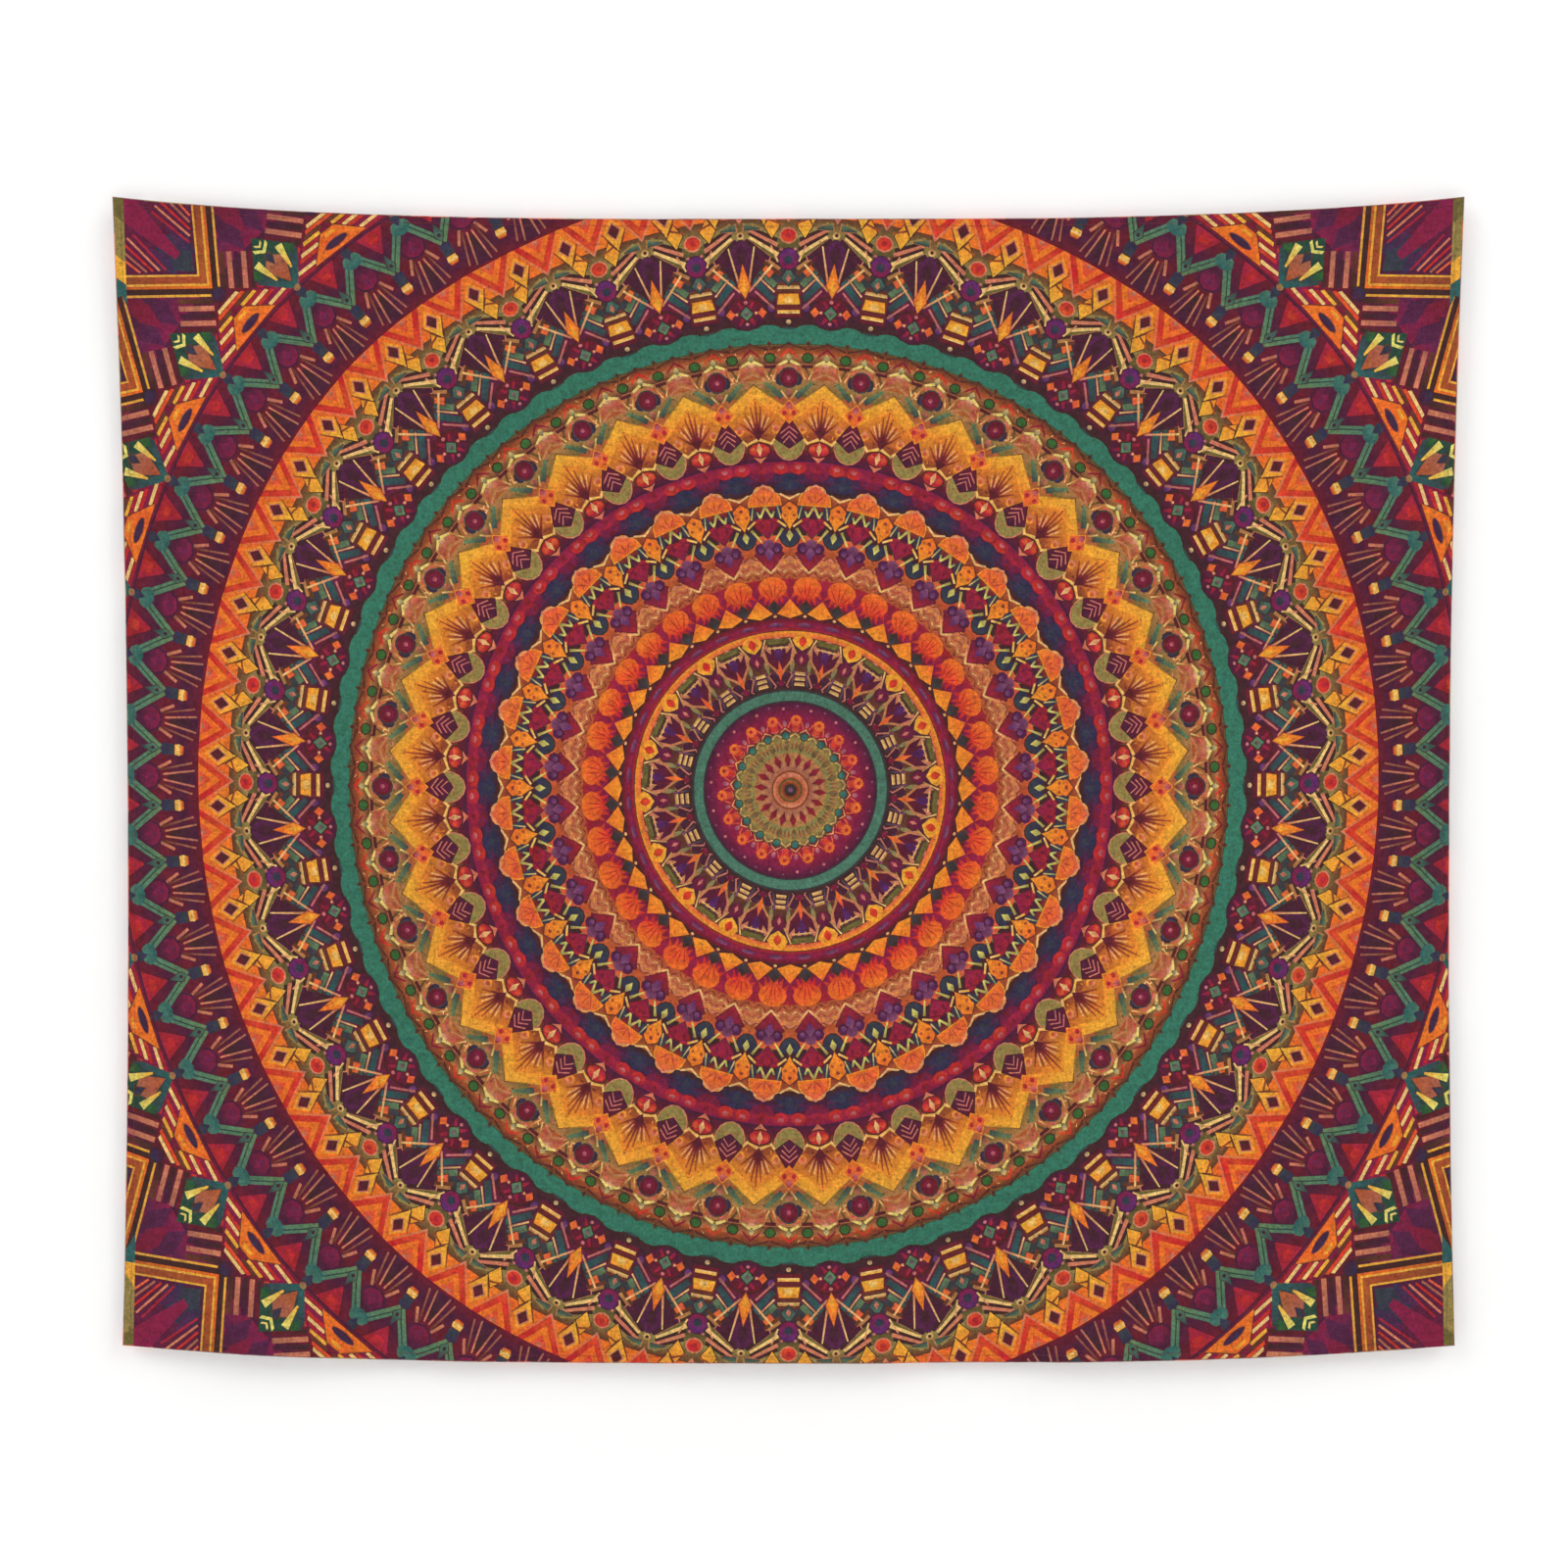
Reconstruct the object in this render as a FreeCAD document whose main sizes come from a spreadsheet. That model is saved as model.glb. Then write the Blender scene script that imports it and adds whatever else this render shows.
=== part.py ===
import FreeCAD, Part
import math
import os

import Sketcher

# A printed cloth wall hanging on two small wall hooks, in millimetres.
# +X runs along the cloth's width, +Z is up, and +Y points into the wall.
# The wall is the plane y = 0, and the origin lies on it, midway between the two hook pads.

os.makedirs("parts", exist_ok=True)
doc = FreeCAD.newDocument("wall_hanging")

DIMENSIONS = {
    # the hung outline of the cloth: its two top corners hold it, so the edges bow a little
    "cloth_width": 1524.0,
    "cloth_height": 1295.0,
    "cloth_thickness": 0.8,
    "corner_height": 18.0,
    "waist_width": 1491.0,
    "foot_width": 1502.0,
    "fold_drop": 647.5,
    "top_sag": 25.0,
    "bottom_bow": 20.0,
    "side_bow": 3.5,
    # hems: the edge turned over twice to the back
    "hem_width": 10.0,
    "hem_thickness": 0.6,
    "hem_back": 13.8,
    # seam threads, laid on the two faces of the hem
    "seam_inset": 8.0,
    "thread_width": 0.8,
    "thread_thickness": 0.2,
    # hanging loops of flat tape, one behind each top corner
    "loop_offset": 34.0,
    "loop_half_span": 30.0,
    "loop_half_mouth": 20.0,
    "loop_half_seat": 10.0,
    "loop_base": 3.2,
    "tape_width": 8.0,
    "tape_thickness": 0.8,
    "tape_gap": 0.4,
    "seat_gap": 0.2,
    "tape_bend": 1.5,
    "tack_height": 6.0,
    "tack_width": 1.5,
    "tack_thickness": 0.4,
    # wall hooks: a plate, an arm and an upturned prong
    "plate_width": 20.0,
    "plate_height": 30.0,
    "plate_thickness": 2.5,
    "plate_round": 4.0,
    "prong_width": 6.0,
    "prong_thickness": 3.0,
    "prong_height": 15.0,
    "prong_round": 1.2,
    "crook_depth": 6.0,
    "arm_thickness": 3.0,
    # adhesive pads between hook and wall
    "pad_margin": 1.0,
    "pad_thickness": 0.8,
}

sheet = doc.addObject("Spreadsheet::Sheet", "Dimensions")
for row, (alias, value) in enumerate(DIMENSIONS.items(), start=1):
    sheet.set(f"A{row}", alias)
    sheet.set(f"B{row}", str(value))
    sheet.setAlias(f"B{row}", alias)
doc.recompute()


def cells(formula):
    """The formula with every dimension's name written as a reference to its cell."""
    words = []
    for word in formula.replace("(", " ( ").replace(")", " ) ").split():
        words.append(f"Dimensions.{word}" if word in DIMENSIONS else word)
    return " ".join(words)


def number(formula):
    """The formula's present value."""
    return float(sheet.evalExpression(cells(formula)))


def origin_plane(body, role):
    for feature in body.Origin.OriginFeatures:
        if feature.Role == role:
            return feature
    raise RuntimeError(f"{body.Label} has no {role}")


def arc_between(start, end, radius, side):
    """The short arc from start to end that bulges to the left (side 1) or right (side -1)."""
    chord = end - start
    sagitta = radius - math.sqrt(radius**2 - (chord.Length / 2) ** 2)
    left = FreeCAD.Vector(-chord.y, chord.x, 0).normalize()
    return Part.Arc(start, (start + end) / 2 + left * sagitta * side, end)


def outline_sketch(body, plane, points, arcs=None):
    """A closed sketch through the points, each a pair of formulas.

    arcs gives, for the edge that leaves a point, its radius formula and the side it bulges to.
    """
    arcs = arcs or {}
    sketch = body.newObject("Sketcher::SketchObject", body.Name + "_outline")
    sketch.AttachmentSupport = [(origin_plane(body, plane), "")]
    sketch.MapMode = "FlatFace"
    corners = [FreeCAD.Vector(number(a), number(b), 0) for a, b in points]
    ends = []
    for i, corner in enumerate(corners):
        following = corners[(i + 1) % len(corners)]
        if i in arcs:
            radius, side = arcs[i]
            edge = sketch.addGeometry(arc_between(corner, following, number(radius), side))
            # a sketch counts an arc's ends anticlockwise, so one that bulges left starts at its 2
            ends.append((edge, 2, 1) if side > 0 else (edge, 1, 2))
        else:
            ends.append((sketch.addGeometry(Part.LineSegment(corner, following)), 1, 2))
    for i, (edge, start, _) in enumerate(ends):
        before, _, last = ends[i - 1]
        sketch.addConstraint(Sketcher.Constraint("Coincident", before, last, edge, start))
        for kind, formula, value in zip(("DistanceX", "DistanceY"), points[i], corners[i][:2]):
            rule = sketch.addConstraint(
                Sketcher.Constraint(kind, -1, 1, edge, start, value)
            )
            sketch.setExpression(f"Constraints[{rule}]", cells(formula))
        if i in arcs:
            radius = arcs[i][0]
            rule = sketch.addConstraint(Sketcher.Constraint("Radius", edge, number(radius)))
            sketch.setExpression(f"Constraints[{rule}]", cells(radius))
    return sketch


def pad(body, sketch, length, midplane=False):
    feature = body.newObject("PartDesign::Pad", sketch.Name + "_pad")
    feature.Profile = sketch
    feature.setExpression("Length", cells(length))
    feature.Midplane = midplane
    doc.recompute()
    return feature


def new_body(label):
    body = doc.addObject("PartDesign::Body", label)
    body.Label = label
    return body


def place(piece, x="0", y="0", z="0"):
    for axis, formula in zip("xyz", (x, y, z)):
        piece.setExpression(f"Placement.Base.{axis}", cells(formula))


# Named heights, half widths and edge radii of the hung outline
TOP = "corner_height"
FOLD = "( corner_height - fold_drop )"
FOOT = "( corner_height - cloth_height )"
HALF_TOP = "cloth_width / 2"
HALF_WAIST = "waist_width / 2"
HALF_FOOT = "foot_width / 2"
TOP_RADIUS = "( ( ( cloth_width / 2 ) ^ 2 + top_sag ^ 2 ) / ( 2 * top_sag ) )"
FOOT_RADIUS = "( ( ( foot_width / 2 ) ^ 2 + bottom_bow ^ 2 ) / ( 2 * bottom_bow ) )"
SIDE_RADIUS = "( ( ( fold_drop / 2 ) ^ 2 + side_bow ^ 2 ) / ( 2 * side_bow ) )"

ACROSS = FreeCAD.Vector(1, 0, 0)
TO_WALL = FreeCAD.Vector(0, 1, 0)

# Distances from the wall to the backs of the layers
CLOTH_BACK = "( hem_back + hem_thickness )"
CLOTH_FRONT = "( hem_back + hem_thickness + cloth_thickness )"


def cloth_layer(label, points, arcs, back, thickness):
    """A flat layer parallel to the wall, from its distance off the wall forward."""
    body = new_body(label)
    pad(body, outline_sketch(body, "XZ_Plane", points, arcs), thickness)
    place(body, y=f"- {back}")
    return body


def make_cloth():
    upper = [
        (f"- {HALF_TOP}", TOP),
        (f"- {HALF_WAIST}", FOLD),
        (HALF_WAIST, FOLD),
        (HALF_TOP, TOP),
    ]
    upper_arcs = {0: (SIDE_RADIUS, 1), 2: (SIDE_RADIUS, 1), 3: (TOP_RADIUS, 1)}
    lower = [
        (f"- {HALF_WAIST}", FOLD),
        (f"- {HALF_FOOT}", FOOT),
        (HALF_FOOT, FOOT),
        (HALF_WAIST, FOLD),
    ]
    lower_arcs = {0: (SIDE_RADIUS, 1), 1: (FOOT_RADIUS, -1), 2: (SIDE_RADIUS, 1)}
    return [
        cloth_layer("cloth_upper", upper, upper_arcs, CLOTH_BACK, "cloth_thickness"),
        cloth_layer("cloth_lower", lower, lower_arcs, CLOTH_BACK, "cloth_thickness"),
    ]


def strip_points(edge, near, far, side=""):
    """Corners of a strip that runs along one stretch of the outline, from near to far inside it.

    The strip's ends are mitred at the cloth's corners and square at the fold line.
    """
    sign = "- " if side == "left" else ""
    if edge in ("top", "bottom"):
        half, level = (HALF_TOP, TOP) if edge == "top" else (HALF_FOOT, FOOT)
        inward = "-" if edge == "top" else "+"
        return [
            (f"- ( {half} - {near} )", f"{level} {inward} {near}"),
            (f"{half} - {near}", f"{level} {inward} {near}"),
            (f"{half} - {far}", f"{level} {inward} {far}"),
            (f"- ( {half} - {far} )", f"{level} {inward} {far}"),
        ]
    half, level = (HALF_TOP, TOP) if edge == "upper" else (HALF_FOOT, FOOT)
    inward = "-" if edge == "upper" else "+"
    return [
        (f"{sign}( {half} - {near} )", f"{level} {inward} {near}"),
        (f"{sign}( {HALF_WAIST} - {near} )", FOLD),
        (f"{sign}( {HALF_WAIST} - {far} )", FOLD),
        (f"{sign}( {half} - {far} )", f"{level} {inward} {far}"),
    ]


def strip_arcs(edge, side=""):
    """The long edges of a strip bow with the stretch of outline that it follows."""
    if edge == "top":
        return {0: (TOP_RADIUS, -1), 2: (TOP_RADIUS, 1)}
    if edge == "bottom":
        return {0: (FOOT_RADIUS, -1), 2: (FOOT_RADIUS, 1)}
    turn = 1 if (edge == "upper") == (side == "left") else -1
    return {0: (SIDE_RADIUS, turn), 2: (SIDE_RADIUS, -turn)}


def strip(label, edge, near, far, back, thickness, side=""):
    points = strip_points(edge, near, far, side)
    return cloth_layer(label, points, strip_arcs(edge, side), back, thickness)


STRETCHES = [
    ("top", "top", ""),
    ("bottom", "bottom", ""),
    ("left_upper", "upper", "left"),
    ("left_lower", "lower", "left"),
    ("right_upper", "upper", "right"),
    ("right_lower", "lower", "right"),
]


def make_hems():
    return [
        strip(f"hem_{name}", edge, "0", "hem_width", "hem_back", "hem_thickness", side)
        for name, edge, side in STRETCHES
    ]


def make_threads():
    """Each seam's needle thread on the front of the cloth and bobbin thread on the hem's back."""
    near = "seam_inset"
    far = "( seam_inset + thread_width )"
    behind = "( hem_back - thread_thickness )"
    made = []
    for name, edge, side in STRETCHES:
        needle = strip(
            f"needle_thread_{name}", edge, near, far, CLOTH_FRONT, "thread_thickness", side
        )
        bobbin = strip(
            f"bobbin_thread_{name}", edge, near, far, behind, "thread_thickness", side
        )
        made += [needle, bobbin]
    return made


def loop_x(side):
    return f"- ( {HALF_TOP} - loop_offset )" if side == "left" else f"{HALF_TOP} - loop_offset"


def make_loop(side):
    """A tape that leaves the cloth, passes behind the hook's prong and comes back to the cloth."""
    body = new_body(f"loop_{side}")
    front = "( tape_gap - hem_back )"
    seat = "( seat_gap - pad_thickness - plate_thickness - crook_depth )"
    line = [
        ("- loop_half_span", front),
        ("- loop_half_mouth", front),
        ("- loop_half_seat", seat),
        ("loop_half_seat", seat),
        ("loop_half_mouth", front),
        ("loop_half_span", front),
    ]
    behind = [(x, f"{y} + tape_thickness") for x, y in reversed(line)]
    tape = pad(body, outline_sketch(body, "XY_Plane", line + behind), "tape_width")
    bends = body.newObject("PartDesign::Fillet", body.Name + "_bends")
    bends.Base = (tape, upright_inner_edges(tape.Shape))
    bends.setExpression("Radius", cells("tape_bend"))
    place(body, x=loop_x(side), z="loop_base")
    return body


def upright_inner_edges(shape):
    """Names of the tape's upright edges, without the four at its cut ends."""
    outermost = number("loop_half_span")
    names = []
    for i, edge in enumerate(shape.Edges, start=1):
        first, last = (v.Point for v in edge.Vertexes)
        upright = abs(first.z - last.z) > 1
        if upright and abs(abs(first.x) - outermost) > 1e-3:
            names.append(f"Edge{i}")
    return names


def make_tacks(side):
    """The two bar tacks through a loop's ends: short ridges of thread on the tape's back."""
    bars = []
    middle = "( ( loop_half_span + loop_half_mouth ) / 2 )"
    for name, sign in (("outer", "-"), ("inner", "+")):
        bar = doc.addObject("Part::Box", f"tack_bar_{side}_{name}")
        bar.setExpression("Length", cells("tack_width"))
        bar.setExpression("Width", cells("tack_thickness"))
        bar.setExpression("Height", cells("tack_height"))
        place(
            bar,
            x=f"{loop_x(side)} {sign} {middle} - tack_width / 2",
            y="tape_gap - hem_back + tape_thickness",
            z="loop_base + ( tape_width - tack_height ) / 2",
        )
        bars.append(bar)
    tacks = doc.addObject("Part::Compound", f"loop_tacks_{side}")
    tacks.Label = f"loop_tacks_{side}"
    tacks.Links = bars
    return tacks


def rectangle(half_width, low, high):
    return [
        (f"- {half_width}", low),
        (half_width, low),
        (half_width, high),
        (f"- {half_width}", high),
    ]


def fillet_edges(body, base, radius, wanted):
    """Rounds the edges of the base feature that pass the wanted test."""
    names = [f"Edge{i}" for i, edge in enumerate(base.Shape.Edges, start=1) if wanted(edge)]
    feature = body.newObject("PartDesign::Fillet", f"{body.Name}_fillet")
    feature.Base = (base, names)
    feature.setExpression("Radius", cells(radius))
    doc.recompute()
    return feature


def runs_along(edge, axis):
    if len(edge.Vertexes) < 2:
        return False
    first, last = (v.Point for v in edge.Vertexes)
    return abs(abs((last - first).normalize().dot(axis)) - 1) < 1e-6


def make_hook(side):
    """A plate with rounded corners, and an arm that comes forward and turns up into a prong."""
    body = new_body(f"hook_{side}")
    plate_outline = outline_sketch(
        body, "XZ_Plane", rectangle("plate_width / 2", "- plate_height / 2", "plate_height / 2")
    )
    plate = pad(body, plate_outline, "plate_thickness")
    plate = fillet_edges(
        body, plate, "plate_round", lambda e: runs_along(e, TO_WALL)
    )
    in_plate = "- plate_thickness / 2"
    outside = "- ( plate_thickness + crook_depth + prong_thickness )"
    inside = "- ( plate_thickness + crook_depth )"
    profile = [
        (in_plate, "0"),
        (outside, "0"),
        (outside, "prong_height"),
        (inside, "prong_height"),
        (inside, "arm_thickness"),
        (in_plate, "arm_thickness"),
    ]
    arm = pad(body, outline_sketch(body, "YZ_Plane", profile), "prong_width", midplane=True)
    front = number(outside) + 1e-3

    def on_prong_front(edge):
        return runs_along(edge, ACROSS) and all(v.Y < front for v in edge.Vertexes)

    fillet_edges(body, arm, "prong_round", on_prong_front)
    place(body, x=loop_x(side), y="- pad_thickness")
    return body


def make_pad(side):
    """The adhesive pad that fills the hook plate's back, a little smaller than the plate."""
    body = new_body(f"hook_pad_{side}")
    outline = rectangle(
        "( plate_width / 2 - pad_margin )",
        "- ( plate_height / 2 - pad_margin )",
        "plate_height / 2 - pad_margin",
    )
    foam = pad(body, outline_sketch(body, "XZ_Plane", outline), "pad_thickness")
    fillet_edges(
        body, foam, "( plate_round - pad_margin )", lambda e: runs_along(e, TO_WALL)
    )
    place(body, x=loop_x(side))
    return body


pieces = make_cloth() + make_hems() + make_threads()
for side in ("left", "right"):
    pieces += [make_loop(side), make_tacks(side), make_hook(side), make_pad(side)]
doc.recompute()

for item in doc.Objects:
    if "Invalid" in item.State or "Error" in item.State:
        raise RuntimeError(f"{item.Label}: {item.State}")
for piece in pieces:
    if piece.Shape.isNull() or not piece.Shape.isValid():
        raise RuntimeError(f"{piece.Label} has no valid shape")
    box = piece.Shape.BoundBox
    print(
        f"{piece.Label:28s} x {box.XMin:8.1f} {box.XMax:8.1f}  y {box.YMin:7.2f} {box.YMax:7.2f}"
        f"  z {box.ZMin:8.1f} {box.ZMax:7.1f}  {piece.Shape.Volume:10.1f} mm3"
    )
    piece.Shape.exportStep(f"parts/{piece.Label}.step")
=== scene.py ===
import math
import random

import bmesh
import bpy
import numpy as np
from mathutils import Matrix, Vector
from mathutils.geometry import delaunay_2d_cdt


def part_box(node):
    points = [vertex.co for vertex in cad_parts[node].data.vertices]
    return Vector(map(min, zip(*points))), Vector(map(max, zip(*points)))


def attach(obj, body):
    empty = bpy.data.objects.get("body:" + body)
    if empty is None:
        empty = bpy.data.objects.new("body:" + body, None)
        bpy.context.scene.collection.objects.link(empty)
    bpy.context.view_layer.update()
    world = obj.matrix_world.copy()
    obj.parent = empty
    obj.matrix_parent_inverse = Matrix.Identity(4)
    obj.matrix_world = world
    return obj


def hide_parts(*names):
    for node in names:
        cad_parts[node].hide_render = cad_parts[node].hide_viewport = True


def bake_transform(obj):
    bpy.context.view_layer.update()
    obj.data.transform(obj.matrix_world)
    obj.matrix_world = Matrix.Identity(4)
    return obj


# A printed cloth wall hanging. The frame holds the two hooks and their pads; this script makes
# the cloth with its print, its hems and stitches, the tape loops and their bar tacks.
# The print is laid out in millimetres on the flat cloth, and everything else is in metres.

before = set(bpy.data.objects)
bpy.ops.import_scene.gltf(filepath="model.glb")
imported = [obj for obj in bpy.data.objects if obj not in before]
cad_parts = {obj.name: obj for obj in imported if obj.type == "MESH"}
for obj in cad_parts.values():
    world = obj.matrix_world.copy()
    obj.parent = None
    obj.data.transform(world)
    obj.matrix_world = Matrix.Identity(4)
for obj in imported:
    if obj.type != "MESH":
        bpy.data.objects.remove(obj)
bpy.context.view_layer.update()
scene = bpy.context.scene
MM = 0.001

# ---------------------------------------------------------------- sizes, from the frame

UPPER_LOW, UPPER_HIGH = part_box("cloth_upper")
LOWER_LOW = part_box("cloth_lower")[0]
WIDTH = UPPER_HIGH[0] - UPPER_LOW[0]
TOP = UPPER_HIGH[2]
FOLD = UPPER_LOW[2]
BOTTOM_BOW = 0.020
TOP_SAG = 0.025
HEIGHT = TOP - (LOWER_LOW[2] + BOTTOM_BOW)
FRONT = UPPER_LOW[1]

# ---------------------------------------------------------------- the print's dyes, in sRGB

DYES = {
    "ash": (0.52, 0.42, 0.40),
    "plum": (0.28, 0.08, 0.20),
    "grape": (0.33, 0.11, 0.27),
    "wine": (0.40, 0.07, 0.14),
    "magenta": (0.50, 0.08, 0.24),
    "crimson": (0.62, 0.11, 0.18),
    "red": (0.74, 0.16, 0.12),
    "vermilion": (0.85, 0.27, 0.13),
    "coral": (0.84, 0.36, 0.22),
    "orange": (0.90, 0.43, 0.12),
    "amber": (0.92, 0.56, 0.15),
    "gold": (0.90, 0.65, 0.20),
    "cream": (0.92, 0.75, 0.46),
    "straw": (0.86, 0.82, 0.42),
    "salmon": (0.80, 0.47, 0.35),
    "clay": (0.64, 0.38, 0.30),
    "rose": (0.76, 0.42, 0.42),
    "tan": (0.68, 0.46, 0.26),
    "rust": (0.66, 0.31, 0.14),
    "brown": (0.38, 0.20, 0.12),
    "bark": (0.24, 0.12, 0.11),
    "khaki": (0.56, 0.49, 0.26),
    "olive": (0.42, 0.38, 0.18),
    "leaf": (0.20, 0.38, 0.16),
    "forest": (0.10, 0.28, 0.19),
    "sage": (0.38, 0.49, 0.33),
    "jade": (0.28, 0.45, 0.37),
    "teal": (0.19, 0.445, 0.36),
    "sea": (0.14, 0.36, 0.35),
    "slate": (0.20, 0.23, 0.25),
    "navy": (0.18, 0.16, 0.28),
    "mauve": (0.50, 0.28, 0.40),
    "violet": (0.34, 0.14, 0.40),
}


def linear(channel):
    """An sRGB channel as linear light."""
    return channel / 12.92 if channel <= 0.04045 else ((channel + 0.055) / 1.055) ** 2.4


def dye(name):
    return tuple(linear(channel) for channel in DYES[name]) + (1.0,)


# ---------------------------------------------------------------- shapes of the print
# Each shape is a list of polygons in millimetres. Its x runs sideways from the shape's own axis,
# and its y is the distance from the print's centre, so a shape is placed by turning it.


def kite(low, high, half, waist=0.5, aside=0.0):
    """A four-sided kite, widest at the waist's share of its height."""
    middle = low + (high - low) * waist
    return [[(aside, low), (aside + half, middle), (aside, high), (aside - half, middle)]]


def bar(low, high, half_low, half_high, aside=0.0, lean=0.0):
    """A bar or block with its own width at each end, its outer end leaning sideways."""
    return [
        [
            (aside - half_low, low),
            (aside + half_low, low),
            (aside + lean + half_high, high),
            (aside + lean - half_high, high),
        ]
    ]


def disc(centre, half_wide, half_high, aside=0.0, sides=10):
    """A round or oval spot."""
    corners = []
    for i in range(sides):
        turn = 2 * math.pi * i / sides
        corners.append((aside + half_wide * math.sin(turn), centre + half_high * math.cos(turn)))
    return [corners]


def leaf(low, high, half, waist=0.5, aside=0.0, steps=5):
    """A pointed oval."""
    right = []
    left = []
    for i in range(1, steps):
        share = i / steps
        bulge = half * math.sin(math.pi * share ** (math.log(0.5) / math.log(waist)))
        right.append((aside + bulge, low + (high - low) * share))
        left.append((aside - bulge, low + (high - low) * share))
    return [[(aside, low)] + right + [(aside, high)] + left[::-1]]


def dome(base, top, half, steps=8, aside=0.0):
    """Half a disc that stands on its base; its top may lie either way from the base."""
    corners = []
    for i in range(steps + 1):
        turn = math.pi * i / steps
        corners.append((aside + half * math.cos(turn), base + (top - base) * math.sin(turn)))
    return [corners]


def stroke(x0, y0, x1, y1, thick, thick_end=None):
    """A straight stroke of the brush."""
    thick_end = thick if thick_end is None else thick_end
    length = math.hypot(x1 - x0, y1 - y0)
    across, up = (y1 - y0) / length / 2, -(x1 - x0) / length / 2
    return [
        [
            (x0 + across * thick, y0 + up * thick),
            (x1 + across * thick_end, y1 + up * thick_end),
            (x1 - across * thick_end, y1 - up * thick_end),
            (x0 - across * thick, y0 - up * thick),
        ]
    ]


def vee(tip, foot, half, thick):
    """A V of two strokes: its tip is on the axis and its feet are out at the half width."""
    feet = foot + thick
    return [[(0, tip), (half, foot), (half, feet), (0, tip + thick), (-half, feet), (-half, foot)]]


def both(shape):
    """A shape and its mirror image across the axis."""
    return shape + [[(-x, y) for x, y in polygon[::-1]] for polygon in shape]


def grown(shape, by):
    """A shape with its corners pushed out from its middle."""
    made = []
    for polygon in shape:
        middle_x = sum(x for x, _ in polygon) / len(polygon)
        middle_y = sum(y for _, y in polygon) / len(polygon)
        corners = []
        for x, y in polygon:
            share = 1 + by / math.hypot(x - middle_x, y - middle_y)
            corners.append((middle_x + (x - middle_x) * share, middle_y + (y - middle_y) * share))
        made.append(corners)
    return made


def fan(low, high, half, fingers, thick, shorten=0.15):
    """Pointed fingers that spread from one place, the outer ones shorter."""
    made = []
    for i in range(fingers):
        side = 2 * i / (fingers - 1) - 1
        reach = (high - low) * (1 - shorten * side * side)
        tip_x, tip_y = half * side, low + reach
        mid_x, mid_y = tip_x * 0.55, low + reach * 0.55
        slope = math.atan2(tip_x, tip_y - low)
        off_x, off_y = thick / 2 * math.cos(slope), -thick / 2 * math.sin(slope)
        right = (mid_x + off_x, mid_y + off_y)
        left = (mid_x - off_x, mid_y - off_y)
        made.append([(0, low), right, (tip_x, tip_y), left])
    return made


# ---------------------------------------------------------------- the print's plan
# The print repeats every 20 degrees and mirrors at 10, so one slice of 10 degrees holds all of it.

SLICE = 10.0
ARC_STEP = 2.5
INNER_ARC_STEP = 5.0
INNER_ARCS = 270.0
PETALS = (0.0, 10.0)
SPOKES = (5.0,)
SPRIGS = (0.0,)
FLAMES = (10.0,)
POINTS = (0.0, 5.0, 10.0)
BETWEEN = (2.5, 7.5)


def polar(degrees, radius):
    """A point of the print, by its angle from the slice's first side and its radius."""
    turn = math.radians(degrees)
    return (radius * math.sin(turn), radius * math.cos(turn))


def arc_turns(radius):
    """The angles of an arc's points across the slice."""
    step = ARC_STEP if radius > INNER_ARCS else INNER_ARC_STEP
    return [i * step for i in range(int(SLICE / step) + 1)]


def anticlockwise(polygon):
    following = polygon[1:] + polygon[:1]
    area = sum(a[0] * b[1] - b[0] * a[1] for a, b in zip(polygon, following))
    return polygon if area > 0 else polygon[::-1]


class Plan:
    """Polygons in painting order, each with the dye at its inner and at its outer end."""

    def __init__(self):
        self.grounds = 0
        self.polygons = []
        self.dyes = []

    def add(self, polygon, inner, outer):
        """A polygon with its dyes, and the radii that it lies between."""
        radii = [math.hypot(x, y) for x, y in polygon]
        self.polygons.append(anticlockwise(polygon))
        self.dyes.append((dye(inner), dye(outer or inner), min(radii), max(radii)))

    def ring(self, low, high, inner, outer):
        """The slice's piece of a ring."""
        rim = [polar(turn, high) for turn in arc_turns(high)]
        foot = [polar(turn, low) for turn in arc_turns(low)[::-1]] if low else [(0.0, 0.0)]
        self.add(rim + foot, inner, outer)

    def ground(self, low, high, inner, outer):
        """A ring of ground colour. All the grounds come before the first shape."""
        self.ring(low, high, inner, outer)
        self.grounds += 1

    def line(self, radius, thick, colour):
        """A thin ring."""
        self.ring(radius, radius + thick, colour, colour)

    def put(self, axes, shape, inner, outer=None):
        """A shape on each of the axes, which are in degrees."""
        for axis in axes:
            turn = math.radians(axis)
            cos, sin = math.cos(turn), math.sin(turn)
            for polygon in shape:
                self.add([(x * cos + y * sin, y * cos - x * sin) for x, y in polygon], inner, outer)

    def edged(self, axes, shape, inner, outer=None, edge="bark", by=1.3):
        """A shape with a thin edge of another dye round it."""
        self.put(axes, grown(shape, by), edge)
        self.put(axes, shape, inner, outer)

    def zigzag(self, at_petals, at_spokes, thick, inner, outer=None):
        """A band that runs from one radius on the petals to another on the spokes."""
        corners = ((0, at_petals), (5, at_spokes), (10, at_petals))
        rim = [polar(axis, radius + thick) for axis, radius in corners]
        foot = [polar(axis, radius) for axis, radius in corners[::-1]]
        self.add(rim + foot, inner, outer)

    def flecks(self, low, high, count, size, colours):
        """Small loose strokes strewn over a ring."""
        for i in range(count):
            radius = random.uniform(low, high)
            x, y = polar(random.uniform(0.4, 9.6), radius)
            lean = random.uniform(0, math.pi)
            long = size * random.uniform(0.7, 1.4)
            across, up = long * math.sin(lean), long * math.cos(lean)
            shape = stroke(x - across, y - up, x + across, y + up, size * 0.75, size * 0.3)
            self.add(shape[0], colours[i % len(colours)], None)


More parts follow.
